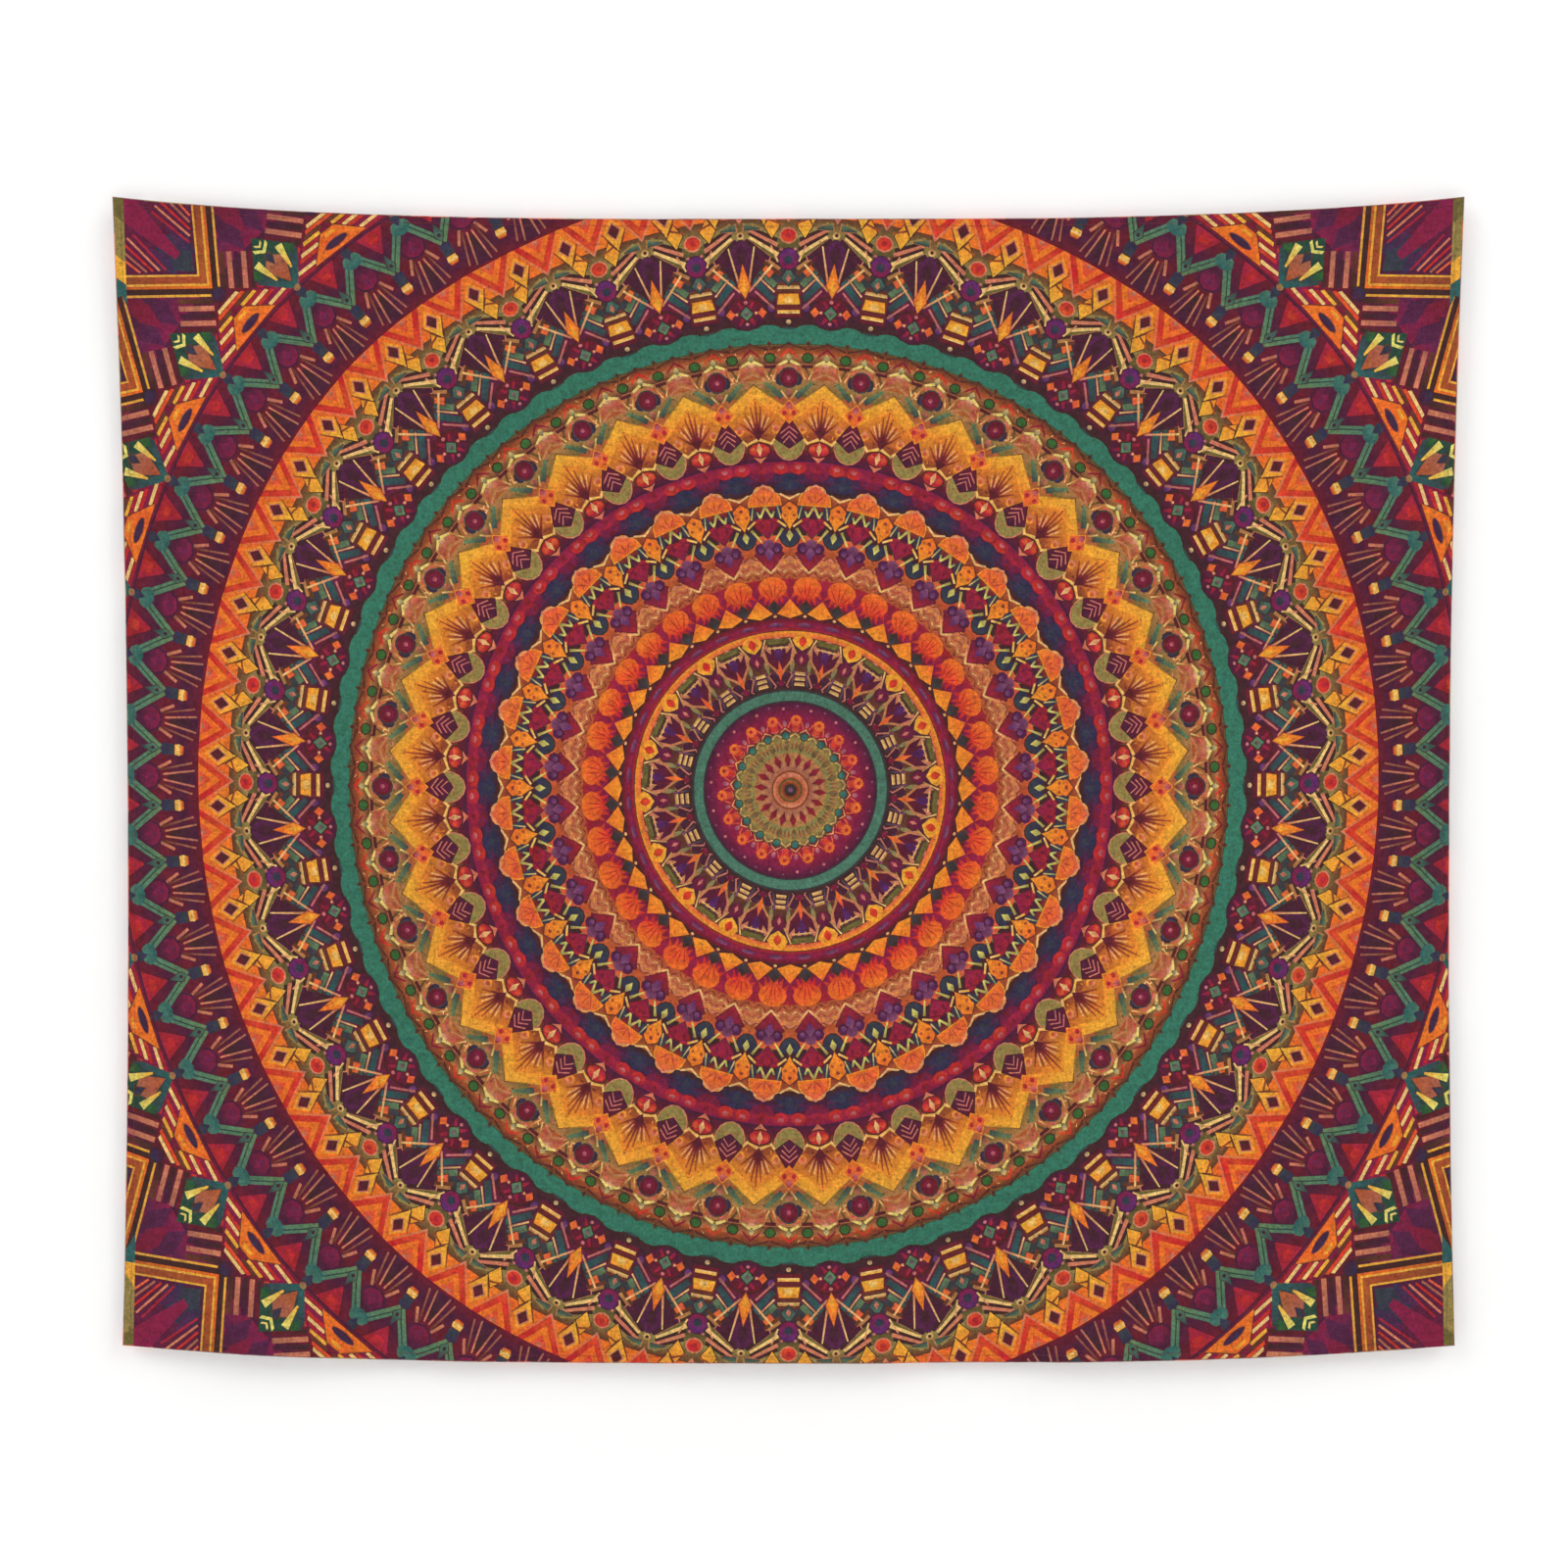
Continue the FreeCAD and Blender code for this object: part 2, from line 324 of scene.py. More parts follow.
def draw_grounds(plan):
    """Every ring's ground, from the centre out. Each starts where the one before it ends."""
    low = 0
    for high, inner, outer in (
        (2.4, "ash", "mauve"),
        (6.6, "slate", "bark"),
        (11, "brown", "rust"),
        (13.5, "olive", "brown"),
        (20, "rust", "salmon"),
        (22.5, "brown", "rust"),
        (42, "clay", "tan"),
        (57, "khaki", "khaki"),
        (66, "khaki", "wine"),
        (84, "crimson", "magenta"),
        (99, "magenta", "plum"),
        (101, "bark", "slate"),
        (111.5, "jade", "jade"),
        (115, "slate", "bark"),
        (133, "bark", "plum"),
        (158, "brown", "plum"),
        (173, "plum", "brown"),
        (180, "coral", "amber"),
        (194, "crimson", "wine"),
        (211, "bark", "wine"),
        (240, "magenta", "crimson"),
        (266, "rust", "salmon"),
        (290, "rust", "coral"),
        (318, "bark", "plum"),
        (336, "wine", "rust"),
        (352, "bark", "plum"),
        (362, "grape", "plum"),
        (375, "crimson", "magenta"),
        (388, "plum", "wine"),
        (412, "brown", "rust"),
        (430, "rust", "coral"),
        (450, "tan", "rust"),
        (470, "olive", "tan"),
        (488, "rust", "tan"),
        (499, "brown", "tan"),
        (509, "rust", "brown"),
        (511, "olive", "bark"),
        (529, "teal", "teal"),
        (560, "bark", "plum"),
        (582, "wine", "grape"),
        (606, "slate", "bark"),
        (630, "bark", "olive"),
        (654, "khaki", "brown"),
        (692, "orange", "orange"),
        (712, "wine", "plum"),
        (735, "plum", "wine"),
        (760, "wine", "plum"),
        (792, "plum", "wine"),
        (815, "wine", "magenta"),
        (840, "magenta", "wine"),
        (870, "wine", "plum"),
        (900, "magenta", "grape"),
        (940, "magenta", "plum"),
        (980, "plum", "magenta"),
        (1040, "magenta", "wine"),
    ):
        plan.ground(low, high, inner, outer)
        low = high


def draw_medallion(plan):
    """The middle, out to the narrow green ring. It repeats eighteen times."""
    plan.flecks(43, 57, 4, 1.5, ("salmon", "bark", "gold"))
    plan.edged(FLAMES, kite(26, 42, 3.2), "wine", "crimson", "brown", 0.7)
    plan.put(SPRIGS, kite(26, 38, 1.6), "salmon", "tan")
    plan.put(SPRIGS, kite(41, 55, 3.0, 0.6), "sage", "tan")
    plan.put(FLAMES, kite(43, 55, 2.8), "brown", "sage")
    plan.put(BETWEEN, kite(45, 57, 1.6), "brown", "tan")
    plan.put(SPRIGS, vee(63, 57, 8, 2.2), "cream", "khaki")
    plan.edged(FLAMES, disc(61.5, 4.4, 4.2, sides=6), "jade", "sea", "bark", 1.0)
    plan.put(FLAMES, vee(69, 64, 6, 1.4), "khaki", "cream")
    plan.flecks(67, 86, 5, 1.5, ("salmon", "red", "plum"))
    plan.put(SPRIGS, fan(65, 89, 8, 5, 3.2, 0.2), "vermilion", "crimson")
    plan.put(SPRIGS, disc(79, 6.2, 5.8), "coral", "orange")
    plan.put(SPRIGS, disc(79.5, 2.4, 2.2, sides=7), "crimson", "red")
    plan.put(FLAMES, disc(75, 2.4, 3.6, sides=7), "rose", "mauve")
    plan.put(FLAMES, both(stroke(3, 70, 7, 77, 1.4)), "coral")
    plan.put(FLAMES, disc(92, 1.8, 1.8, sides=6), "rose")
    plan.put(SPRIGS, disc(95, 1.4, 1.2, sides=6), "mauve")


def draw_sprigs(plan):
    """Stacked bars and dark fans in turn, between the two narrow rings."""
    plan.flecks(117, 136, 7, 1.9, ("tan", "magenta", "slate", "rose"))
    plan.flecks(136, 170, 5, 2.2, ("salmon", "wine", "khaki"))
    for low in (118, 124, 130):
        plan.put(SPRIGS, bar(low, low + 3.8, 6.0, 5.4), "cream", "tan")
    plan.put(SPRIGS, both(stroke(9, 117, 7, 135, 1.8)), "slate", "mauve")
    plan.put(SPRIGS, both(leaf(132, 150, 2.6, aside=10, steps=4)), "sage", "tan")
    plan.put(FLAMES, disc(121, 4.0, 3.6, sides=8), "magenta", "wine")
    plan.put(FLAMES, both(stroke(6, 118, 14, 130, 1.8)), "rose", "tan")
    plan.edged(SPRIGS, leaf(140, 163, 7.4, steps=4), "magenta", "plum", "bark", 1.2)
    plan.put(SPRIGS, kite(143, 152, 2.2), "rose", "salmon")
    plan.put(FLAMES, leaf(127, 174, 20, 0.6), "tan", "salmon")
    plan.put(FLAMES, fan(133, 167, 16.5, 5, 9.0, 0.16), "wine", "plum")
    plan.put(FLAMES, kite(139, 166, 5.0, 0.6), "plum", "violet")
    plan.put(FLAMES, kite(124, 147, 3.2, 0.4), "orange", "coral")
    plan.put(FLAMES, bar(163, 171.5, 12.5, 13.5), "bark", "olive")
    plan.put(FLAMES, bar(166, 169, 10, 10.5), "olive")
    plan.put(SPRIGS, leaf(158, 181, 12, steps=4), "gold", "amber")
    plan.put(SPRIGS, leaf(162, 175, 4.8, steps=4), "vermilion", "red")
    plan.put(FLAMES, bar(160.5, 162.1, 12, 12.4), "cream", "tan")
    plan.put(FLAMES, both(stroke(14.0, 171.5, 20.5, 153, 1.7)), "tan", "cream")
    plan.line(180, 1.2, "brown")
    plan.line(184, 6.4, "magenta")
    plan.put(PETALS, disc(187.2, 8.0, 2.6, sides=8), "grape", "mauve")
    plan.put(SPOKES, disc(187.2, 6.0, 1.6, sides=8), "crimson", "magenta")


def draw_petal_rings(plan):
    """Gold teeth, ribbed orange petals, herringbone hills and plum hearts, in rings."""
    plan.put(PETALS, fan(238, 207, 18.4, 6, 8.0, 0.3), "red", "vermilion")
    plan.put(PETALS, disc(230, 16.6, 12.6, sides=12), "vermilion", "orange")
    plan.put(PETALS, fan(213, 240, 13, 4, 1.8, 0.3), "red")
    plan.put(SPOKES, kite(214, 244, 3.0, 0.6), "magenta", "crimson")
    plan.line(193.2, 1.4, "wine")
    plan.put(SPOKES, kite(194.8, 216.5, 15.0, 0.22), "amber", "orange")
    plan.edged(PETALS, kite(200, 215, 7.2, 0.5), "slate", "bark", "brown", 1.4)
    plan.put(PETALS, disc(197.3, 2.2, 1.7, sides=6), "cream", "salmon")
    for row, colour in enumerate(("wine", "cream", "rust", "gold", "brown")):
        low = 242 + row * 5.2
        plan.put(SPOKES, both(stroke(0.5, low + 5, 7.5, low, 1.9)), colour, "rust")
        plan.put(SPOKES, both(stroke(8.5, low, 15.5, low + 6, 1.9)), "rust", colour)
        plan.put(SPOKES, both(stroke(17, low + 5, 22, low, 1.8)), colour, "rust")
    plan.put(PETALS, both(stroke(0, 247, 16, 262, 2.2)), "cream", "coral")
    plan.edged(PETALS, kite(250, 281, 16.4, 0.6), "crimson", "plum", "wine", 1.6)
    plan.put(PETALS, both(disc(275, 7.4, 7.0, aside=9, sides=8)), "plum", "grape")
    plan.put(PETALS, disc(279.6, 6.8, 6.6, sides=8), "grape", "mauve")
    plan.put(PETALS, both(disc(274, 3.2, 3.4, aside=9, sides=6)), "mauve", "violet")
    plan.put(PETALS, kite(260, 277, 5.6, 0.6), "violet", "mauve")
    plan.edged(SPOKES, dome(294, 277, 12.5), "slate", "navy", "bark", 1.4)
    plan.put(SPOKES, kite(283, 297, 4.0), "straw", "khaki")
    plan.put(SPOKES, both(stroke(8, 298, 17, 283, 3.4, 1.6)), "straw", "khaki")
    plan.put(SPOKES, both(kite(287, 300, 2.6, aside=21)), "khaki", "sage")
    plan.put(PETALS, both(disc(304.5, 7.6, 6.2, aside=7.5, sides=8)), "magenta", "crimson")
    plan.edged(PETALS, kite(287.4, 309, 13.4, 0.66), "magenta", "crimson", "wine", 1.6)
    plan.put(PETALS, both(kite(298, 307, 2.4, aside=6)), "wine", "magenta")
    plan.edged(SPOKES, leaf(297, 329, 11.0, 0.62), "amber", "orange", "brown", 1.5)
    plan.put(SPOKES, both(stroke(4, 300, 14, 307, 2.4)), "cream", "gold")
    plan.put(SPOKES, both(disc(313, 2.0, 2.0, aside=5, sides=6)), "rust")
    plan.put(SPOKES, disc(321, 2.6, 2.2, sides=6), "rust", "wine")
    plan.put(PETALS, both(stroke(0, 324, 6.5, 311, 3.0, 2.2)), "straw", "khaki")
    plan.put(PETALS, both(stroke(6.5, 311, 10, 318, 2.4)), "straw", "sage")
    plan.put(PETALS, both(leaf(308, 326, 4.4, aside=15, steps=4)), "slate", "navy")
    plan.put(PETALS, both(stroke(17, 309, 14, 324, 1.6)), "cream", "sage")


def draw_domes(plan):
    """Orange domes over a zigzag, then navy clouds and a crimson ring."""
    plan.edged(PETALS, dome(325, 347, 18.0), "orange", "coral", "amber", 1.6)
    plan.put(PETALS, dome(328, 339, 10, steps=5), "coral", "orange")
    plan.put(PETALS, fan(325, 340, 11, 3, 1.8), "rust", "red")
    plan.zigzag(347, 331, 2.6, "cream", "salmon")
    for side in (-12.5, 0, 12.5):
        plan.put(SPOKES, disc(345 - abs(side) * 0.1, 6.4, 6.0, aside=side, sides=8), "bark", "navy")
    plan.put(SPOKES, disc(351.5, 13.0, 10.2), "navy", "navy")
    plan.put(SPOKES, both(disc(354, 4.2, 4.2, aside=14.6, sides=8)), "grape", "navy")
    plan.put(SPOKES, kite(343, 358, 5.4), "slate", "navy")
    plan.put(SPOKES, both(disc(352, 2.6, 2.4, aside=9, sides=6)), "slate", "plum")
    plan.put(PETALS, dome(364, 352, 14.5), "wine", "magenta")
    plan.put(PETALS, both(kite(353, 362, 2.6, aside=6)), "magenta", "grape")
    plan.put(SPOKES, both(disc(367, 9.0, 7.0, aside=10)), "red", "crimson")
    plan.put(SPOKES, both(disc(369, 4.0, 3.0, aside=10, sides=7)), "rose", "crimson")
    plan.put(PETALS, disc(368, 11, 6.4), "crimson", "magenta")
    plan.put(PETALS, kite(365, 376, 4.0), "wine", "crimson")
    plan.line(376, 2.0, "plum")


def draw_shields(plan):
    """Olive domes and red bows, with the large gold chevrons round them."""
    plan.flecks(392, 432, 7, 2.2, ("cream", "wine", "amber"))
    plan.edged(SPOKES, dome(399, 377, 17.5), "khaki", "khaki", "salmon", 1.4)
    plan.put(SPOKES, both(disc(389, 2.2, 2.2, aside=8, sides=6)), "tan", "olive")
    plan.put(SPOKES, disc(393, 5.4, 4.4, sides=8), "salmon", "brown")
    plan.put(PETALS, kite(374, 388, 7.5), "salmon", "coral")
    plan.edged(PETALS, disc(389, 12.5, 8.0), "crimson", "red", "bark", 1.6)
    plan.put(PETALS, both(disc(389, 3.6, 4.0, aside=7, sides=7)), "red", "coral")
    plan.put(PETALS, kite(382, 398, 3.4), "cream", "salmon")
    plan.put(PETALS, both(stroke(0, 402, 14, 396, 3.8, 2.0)), "gold", "cream")
    plan.put(PETALS, both(stroke(13, 395, 22, 405, 3.2, 1.8)), "cream", "gold")
    plan.zigzag(412, 400, 36, "rust", "amber")
    plan.put(PETALS, vee(449.5, 422, 31, 16.5), "amber", "gold")
    plan.put(PETALS, vee(464.5, 437, 31, 1.8), "gold", "brown")
    plan.put(PETALS, kite(400, 420, 7.0), "wine", "bark")
    plan.put(PETALS, both(disc(412, 5.6, 5.6, aside=21, sides=9)), "amber", "salmon")
    plan.put(PETALS, both(disc(412, 2.6, 2.6, aside=21, sides=7)), "rust", "coral")
    for side in (5, 11, 17):
        low = 413 - side * 0.2
        ray = stroke(side * 0.35, low, side * 1.15, low + 33 - side * 1.2, 3.0, 1.6)
        plan.put(PETALS, both(ray), "wine", "rust")
    for side in (7.5, 13):
        low = 417 - side * 0.2
        ray = stroke(side * 0.6, low, side * 1.1, low + 17 - side * 0.4, 1.8, 1.2)
        plan.put(PETALS, both(ray), "salmon", "cream")
    plan.put(PETALS, stroke(0, 414, 0, 446, 3.0, 1.6), "wine", "rust")
    plan.edged(SPOKES, kite(391, 427, 15.5, 0.3), "plum", "wine", "bark", 1.6)
    for i in range(3):
        low = 410 - i * 5.6
        plan.put(SPOKES, vee(low + 4.4, low - 3.5, 10 - i * 1.5, 1.8), "salmon", "rose")
    plan.edged(SPOKES, kite(420, 445, 11.5, 0.5), "orange", "coral", "amber", 1.5)
    plan.put(SPOKES, both(disc(431, 2.8, 3.2, aside=5.4, sides=6)), "red", "crimson")
    plan.put(SPOKES, disc(440, 3.4, 4.4, sides=8), "rose", "crimson")


def draw_beads(plan):
    """Small motifs between the chevrons and the broad teal ring."""
    plan.flecks(452, 486, 13, 2.4, ("bark", "salmon", "olive", "wine", "cream"))
    plan.put(SPOKES, both(stroke(8, 449, 27, 466, 7.0, 4.0)), "slate", "sage")
    plan.put(SPOKES, both(stroke(8, 454, 25, 470, 1.6)), "olive", "khaki")
    plan.put(SPOKES, both(stroke(2, 447, 9, 457, 2.0)), "tan", "cream")
    plan.put(SPOKES, kite(448, 461, 5.0), "bark", "salmon")
    plan.put(SPOKES, both(disc(470, 5.5, 7.5, aside=10, sides=8)), "navy", "bark")
    plan.edged(SPOKES, disc(472, 10.5, 11.0, sides=12), "wine", "wine", "slate", 1.6)
    plan.put(SPOKES, disc(472, 6.4, 6.8, sides=9), "magenta", "wine")
    plan.put(SPOKES, disc(472, 2.6, 3.0, sides=7), "rose", "magenta")
    plan.put(PETALS, vee(475.5, 468, 15, 3.0), "salmon", "tan")
    plan.put(PETALS, vee(482, 474.5, 13, 3.2), "crimson", "salmon")
    plan.put(PETALS, kite(484, 491, 5.0), "rose", "cream")
    plan.put(PETALS, both(stroke(16, 470, 24, 484, 3.0)), "olive", "brown")
    plan.put(BETWEEN, both(stroke(2, 470, 8, 484, 1.8)), "cream", "rust")
    plan.put(POINTS, both(stroke(1.6, 491.5, 12, 486.5, 3.8, 2.4)), "cream", "straw")
    plan.put(POINTS, both(stroke(5, 485, 12.5, 481, 2.6, 1.6)), "vermilion", "rose")
    plan.put(BETWEEN, bar(483, 487, 6, 7), "bark", "wine")
    plan.edged(BETWEEN, disc(495, 5.6, 4.8, sides=8), "leaf", "leaf", "bark", 1.6)
    plan.put(SPOKES, vee(503.5, 494, 10.5, 3.2), "vermilion", "red")
    plan.put(PETALS, vee(503.5, 494, 10.5, 3.2), "crimson", "wine")
    plan.put(POINTS, kite(491, 500, 3.4), "jade", "cream")
    plan.flecks(500, 510, 7, 1.5, ("bark", "cream", "bark"))
    plan.put(POINTS, vee(510, 503, 21, 2.0), "bark", "brown")


def draw_teal_ring(plan):
    """The broad teal ring, with bites in its inner edge and low scallops on its outer one."""
    plan.put(BETWEEN, dome(527, 533, 15, steps=5), "teal", "teal")
    plan.put(BETWEEN, kite(508, 515, 2.6), "bark", "brown")
    plan.put(POINTS, kite(508, 513.5, 4.4), "brown", "bark")
    plan.put(POINTS, dome(531, 527, 9, steps=4), "sea", "bark")


def draw_blossoms(plan):
    """Round plum blossoms outside the teal ring, with gold lanterns in between."""
    plan.edged(PETALS, disc(547, 22, 18, sides=12), "plum", "wine", "bark", 2.0)
    for turn in range(30, 360, 60):
        x, y = math.sin(math.radians(turn)), math.cos(math.radians(turn))
        plan.put(PETALS, stroke(8 * x, 547 + 7 * y, 18 * x, 547 + 15 * y, 4.6, 2.4), "magenta", "crimson")
    plan.put(PETALS, both(kite(541, 553, 5.2, aside=18)), "coral", "orange")
    plan.edged(PETALS, kite(539, 555, 7.4), "sage", "jade", "bark", 2.2)
    plan.put(PETALS, kite(543, 551, 3.4), "slate", "ash")
    plan.put(PETALS, disc(535, 2.2, 2.0, sides=6) + disc(560, 2.4, 2.2, sides=6), "rose")
    plan.put(PETALS, both(disc(547, 1.8, 1.8, aside=11, sides=6)), "rose", "cream")
    plan.put(SPOKES, bar(531, 556, 6, 22), "bark", "plum")
    plan.put(SPOKES, disc(536, 3.0, 2.8, sides=7), "ash", "cream")
    plan.put(SPOKES, both(disc(552, 4.0, 5.0, aside=20, sides=7)), "violet", "mauve")
    plan.put(SPOKES, bar(541, 581, 15, 13), "wine", "brown")
    plan.put(SPOKES, bar(545.5, 549.5, 12.5, 12.5), "cream", "gold")
    plan.put(SPOKES, bar(556, 568, 13, 11), "gold", "amber")
    plan.put(SPOKES, bar(558, 566, 5, 4), "cream", "gold")
    plan.put(SPOKES, bar(573.5, 577.5, 13, 12), "cream", "tan")
    plan.put(SPOKES, both(stroke(16, 551, 38, 571, 2.4)), "clay", "rose")
    plan.edged(SPOKES, both(stroke(17, 561, 42, 586, 7.5)), "slate", "sea", "bark", 1.2)
    plan.put(SPOKES, both(stroke(16, 570, 34, 587, 2.0)), "cream", "clay")
    plan.edged(SPOKES, both(stroke(15, 577, 32, 594, 7.0)), "sage", "slate", "bark", 1.2)


def draw_fans(plan):
    """Dark winged fans with a spear in each, and a stack of beads in between."""
    plan.edged(SPOKES, kite(577, 597, 8.5, 0.45), "slate", "jade", "bark", 1.4)
    plan.put(SPOKES, kite(581, 591, 3.0, 0.4), "salmon", "clay")
    plan.edged(SPOKES, both(kite(586, 604, 7.6, 0.5, aside=22)), "coral", "orange", "brown", 1.4)
    plan.put(SPOKES, both(stroke(12, 590, 17, 612, 2.2)), "salmon", "cream")
    stripes = ("khaki", "bark", "salmon", "bark", "cream", "olive", "bark", "tan", "brown")
    for i, colour in enumerate(stripes):
        plan.put(PETALS, both(stroke(10, 648 - i * 3.8, 42, 632 - i * 5.4, 3.4, 4.6)), colour, colour)
    plan.edged(PETALS, both(stroke(5, 624, 31, 607, 15, 5)), "plum", "bark", "salmon", 1.4)
    plan.put(PETALS, both(stroke(9, 617, 24, 609, 3.0, 1.0)), "bark", "plum")
    plan.put(PETALS, both(stroke(5, 572, 34, 600, 2.4)), "salmon", "cream")
    plan.edged(PETALS, both(stroke(4, 582, 21, 609, 9, 12)), "bark", "plum", "wine", 1.0)
    plan.edged(PETALS, leaf(584, 631, 15, 0.6), "plum", "grape", "bark", 1.2)
    plan.put(PETALS, both(stroke(6, 582, 15, 622, 2.6, 1.6)), "salmon", "cream")
    plan.put(PETALS, kite(596, 627, 7.0, 0.6), "bark", "plum")
    plan.edged(PETALS, kite(565, 603, 6.8, 0.36), "amber", "orange", "rust", 1.4)
    plan.put(PETALS, kite(569, 590, 2.6, 0.3), "gold", "amber")
    plan.put(PETALS, both(disc(629, 2.6, 2.4, aside=7, sides=6)), "plum")
    plan.put(PETALS, disc(635, 4.6, 4.4, sides=8), "cream", "tan")
    plan.put(PETALS, disc(635, 2.2, 2.0, sides=6), "bark")
    plan.edged(PETALS, both(stroke(5, 644, 23, 641, 8.0, 2.0)), "slate", "sage", "tan", 1.8)
    plan.edged(SPOKES, disc(607, 11.5, 11.5), "magenta", "violet", "plum", 1.6)
    plan.put(SPOKES, disc(606, 5.4, 5.0, sides=8), "navy", "slate")
    plan.put(SPOKES, both(disc(618, 2.0, 1.8, aside=8, sides=6)), "rose")
    plan.put(SPOKES, both(stroke(12, 604, 20, 622, 2.0)), "cream", "salmon")
    plan.edged(SPOKES, both(kite(630, 657, 9.0, 0.5, aside=19)), "gold", "amber", "bark", 1.4)
    plan.put(SPOKES, both(stroke(8, 646, 26, 652, 2.4)), "rust", "brown")
    plan.edged(SPOKES, disc(633, 8.6, 7.4), "vermilion", "red", "salmon", 2.0)
    plan.put(SPOKES, disc(633, 3.6, 3.2, sides=7), "red", "crimson")


def draw_orange_ring(plan):
    """The orange ring, a wide red V at each point and a dark diamond between them."""
    plan.put(BETWEEN, kite(646, 684, 14, 0.5), "gold", "amber")
    plan.put(BETWEEN, both(stroke(2, 648, 14, 668, 2.0)), "bark", "rust")
    plan.edged(BETWEEN, kite(659, 677, 7.0, 0.5), "bark", "wine", "salmon", 2.0)
    plan.put(POINTS, bar(648, 691.5, 0.4, 30.7), "salmon", "orange")
    plan.put(POINTS, bar(652, 691, 0.4, 27), "vermilion", "red")
    plan.put(POINTS, bar(665, 690.5, 0.4, 18.5), "orange", "orange")
    plan.put(POINTS, bar(676, 690, 0.4, 10.5), "vermilion", "coral")
    plan.put(POINTS, disc(688, 3.2, 2.6, sides=7), "clay", "salmon")
    plan.line(691, 2.4, "wine")


def draw_outer_field(plan):
    """Rays, a green zigzag and crimson teeth on the dark field."""
    plan.put(POINTS, bar(694, 728, 12, 2.0), "plum", "bark")
    plan.put(POINTS, both(stroke(9.0, 695, 3.0, 734, 2.2)), "clay", "salmon")
    plan.put(POINTS, both(stroke(17.5, 698, 8.0, 737, 2.2)), "clay", "brown")
    plan.put(POINTS, both(stroke(18.0, 724, 9.0, 742, 3.4)), "salmon", "clay")
    plan.put(BETWEEN, bar(709, 715, 4.4, 6.6), "red", "gold")
    plan.put(BETWEEN, bar(714, 720, 6.6, 5.6), "cream", "gold")
    plan.put(BETWEEN, bar(721, 736, 6.0, 7.0), "slate", "navy")
    plan.edged(POINTS, disc(752, 13.5, 12.5, sides=8), "magenta", "plum", "plum", 3.0)
    plan.put(POINTS, kite(744, 760, 5.5), "grape", "magenta")
    plan.edged(BETWEEN, both(stroke(0, 739, 29, 777, 9.5)), "sage", "jade", "slate", 1.2)
    plan.put(BETWEEN, both(stroke(2, 743, 26, 774, 1.6)), "forest", "slate")
    plan.edged(BETWEEN, kite(739, 762, 5.5, 0.35), "jade", "slate", "bark", 1.2)
    plan.put(BETWEEN, disc(747, 2.2, 2.6, sides=6), "bark")
    plan.put(BETWEEN, bar(765, 794, 1.0, 17.5), "crimson", "crimson")
    plan.put(BETWEEN, bar(780, 794, 5, 9), "red", "crimson")
    plan.put(POINTS, disc(778, 12.5, 9.5, sides=8), "sea", "jade")
    plan.put(POINTS, kite(780, 800, 7), "navy", "slate")
    plan.line(794, 2.8, "plum")


def draw_lozenges(plan):
    """Orange lozenges with a striped fringe, and bars that run on from it."""
    runs = (
        ("bark", "brown"),
        ("salmon", "clay"),
        ("bark", "plum"),
        ("salmon", "clay"),
        ("bark", "wine"),
        ("red", "wine"),
    )
    for i, (inner, outer) in enumerate(runs):
        x, y = 10 + i * 6.0, 855 - i * 6.0
        plan.put(SPOKES, both(stroke(x, y, x + 30, y + 30, 6.0)), inner, outer)
    fringe = ("crimson", "cream", "magenta", "red", "cream", "crimson", "gold", "brown", "vermilion", "cream")
    for i, colour in enumerate(fringe):
        low = 797.5 + i * 4.7
        inner = max(0, 37 - i * 4.7)
        outer = 65 - i * 5.2
        strip = [(inner, low), (outer, low), (outer - 2, low + 4), (inner, low + 4)]
        plan.put(SPOKES, both([strip]), colour)
    plan.edged(SPOKES, bar(799, 825, 36.5, 9.5), "orange", "orange", "brown", 1.6)
    plan.edged(SPOKES, disc(807.5, 15.5, 4.4), "plum", "navy", "rust", 1.4)
    plan.put(SPOKES, bar(818, 822, 8, 6), "amber", "gold")


def draw_corner_bars(plan):
    """Nested L-shaped bars round a plum square, one of them at each corner of the cloth."""
    bars = (
        (852.0, 4.0, "gold", "tan"),
        (856.0, 9.5, "bark", "bark"),
        (865.5, 4.5, "orange", "bark"),
        (870.0, 3.6, "gold", "tan"),
        (873.6, 11.5, "rust", "bark"),
        (885.1, 3.4, "gold", "tan"),
    )
    for tip, thick, inner, outer in bars:
        plan.put(SPOKES, vee(tip, tip + 150, 150, thick), inner, outer)
    plan.edged(SPOKES, disc(855, 8.5, 8.0, sides=8), "plum", "navy", "bark", 1.4)
    plan.put(SPOKES, kite(888.5, 1188, 150), "plum", "magenta")
    plan.put(SPOKES, kite(893, 955, 27), "slate", "navy")
    plan.put(SPOKES, both(kite(905, 950, 10, aside=17)), "navy", "grape")
    plan.put(SPOKES, bar(918, 1040, 5, 22), "magenta", "magenta")
    for i, colour in enumerate(("crimson", "salmon", "red", "clay", "coral")):
        plan.put(SPOKES, both(stroke(22 + i * 6, 918 + i * 5, 18 + i * 8, 972 + i * 2, 2.6)), colour)


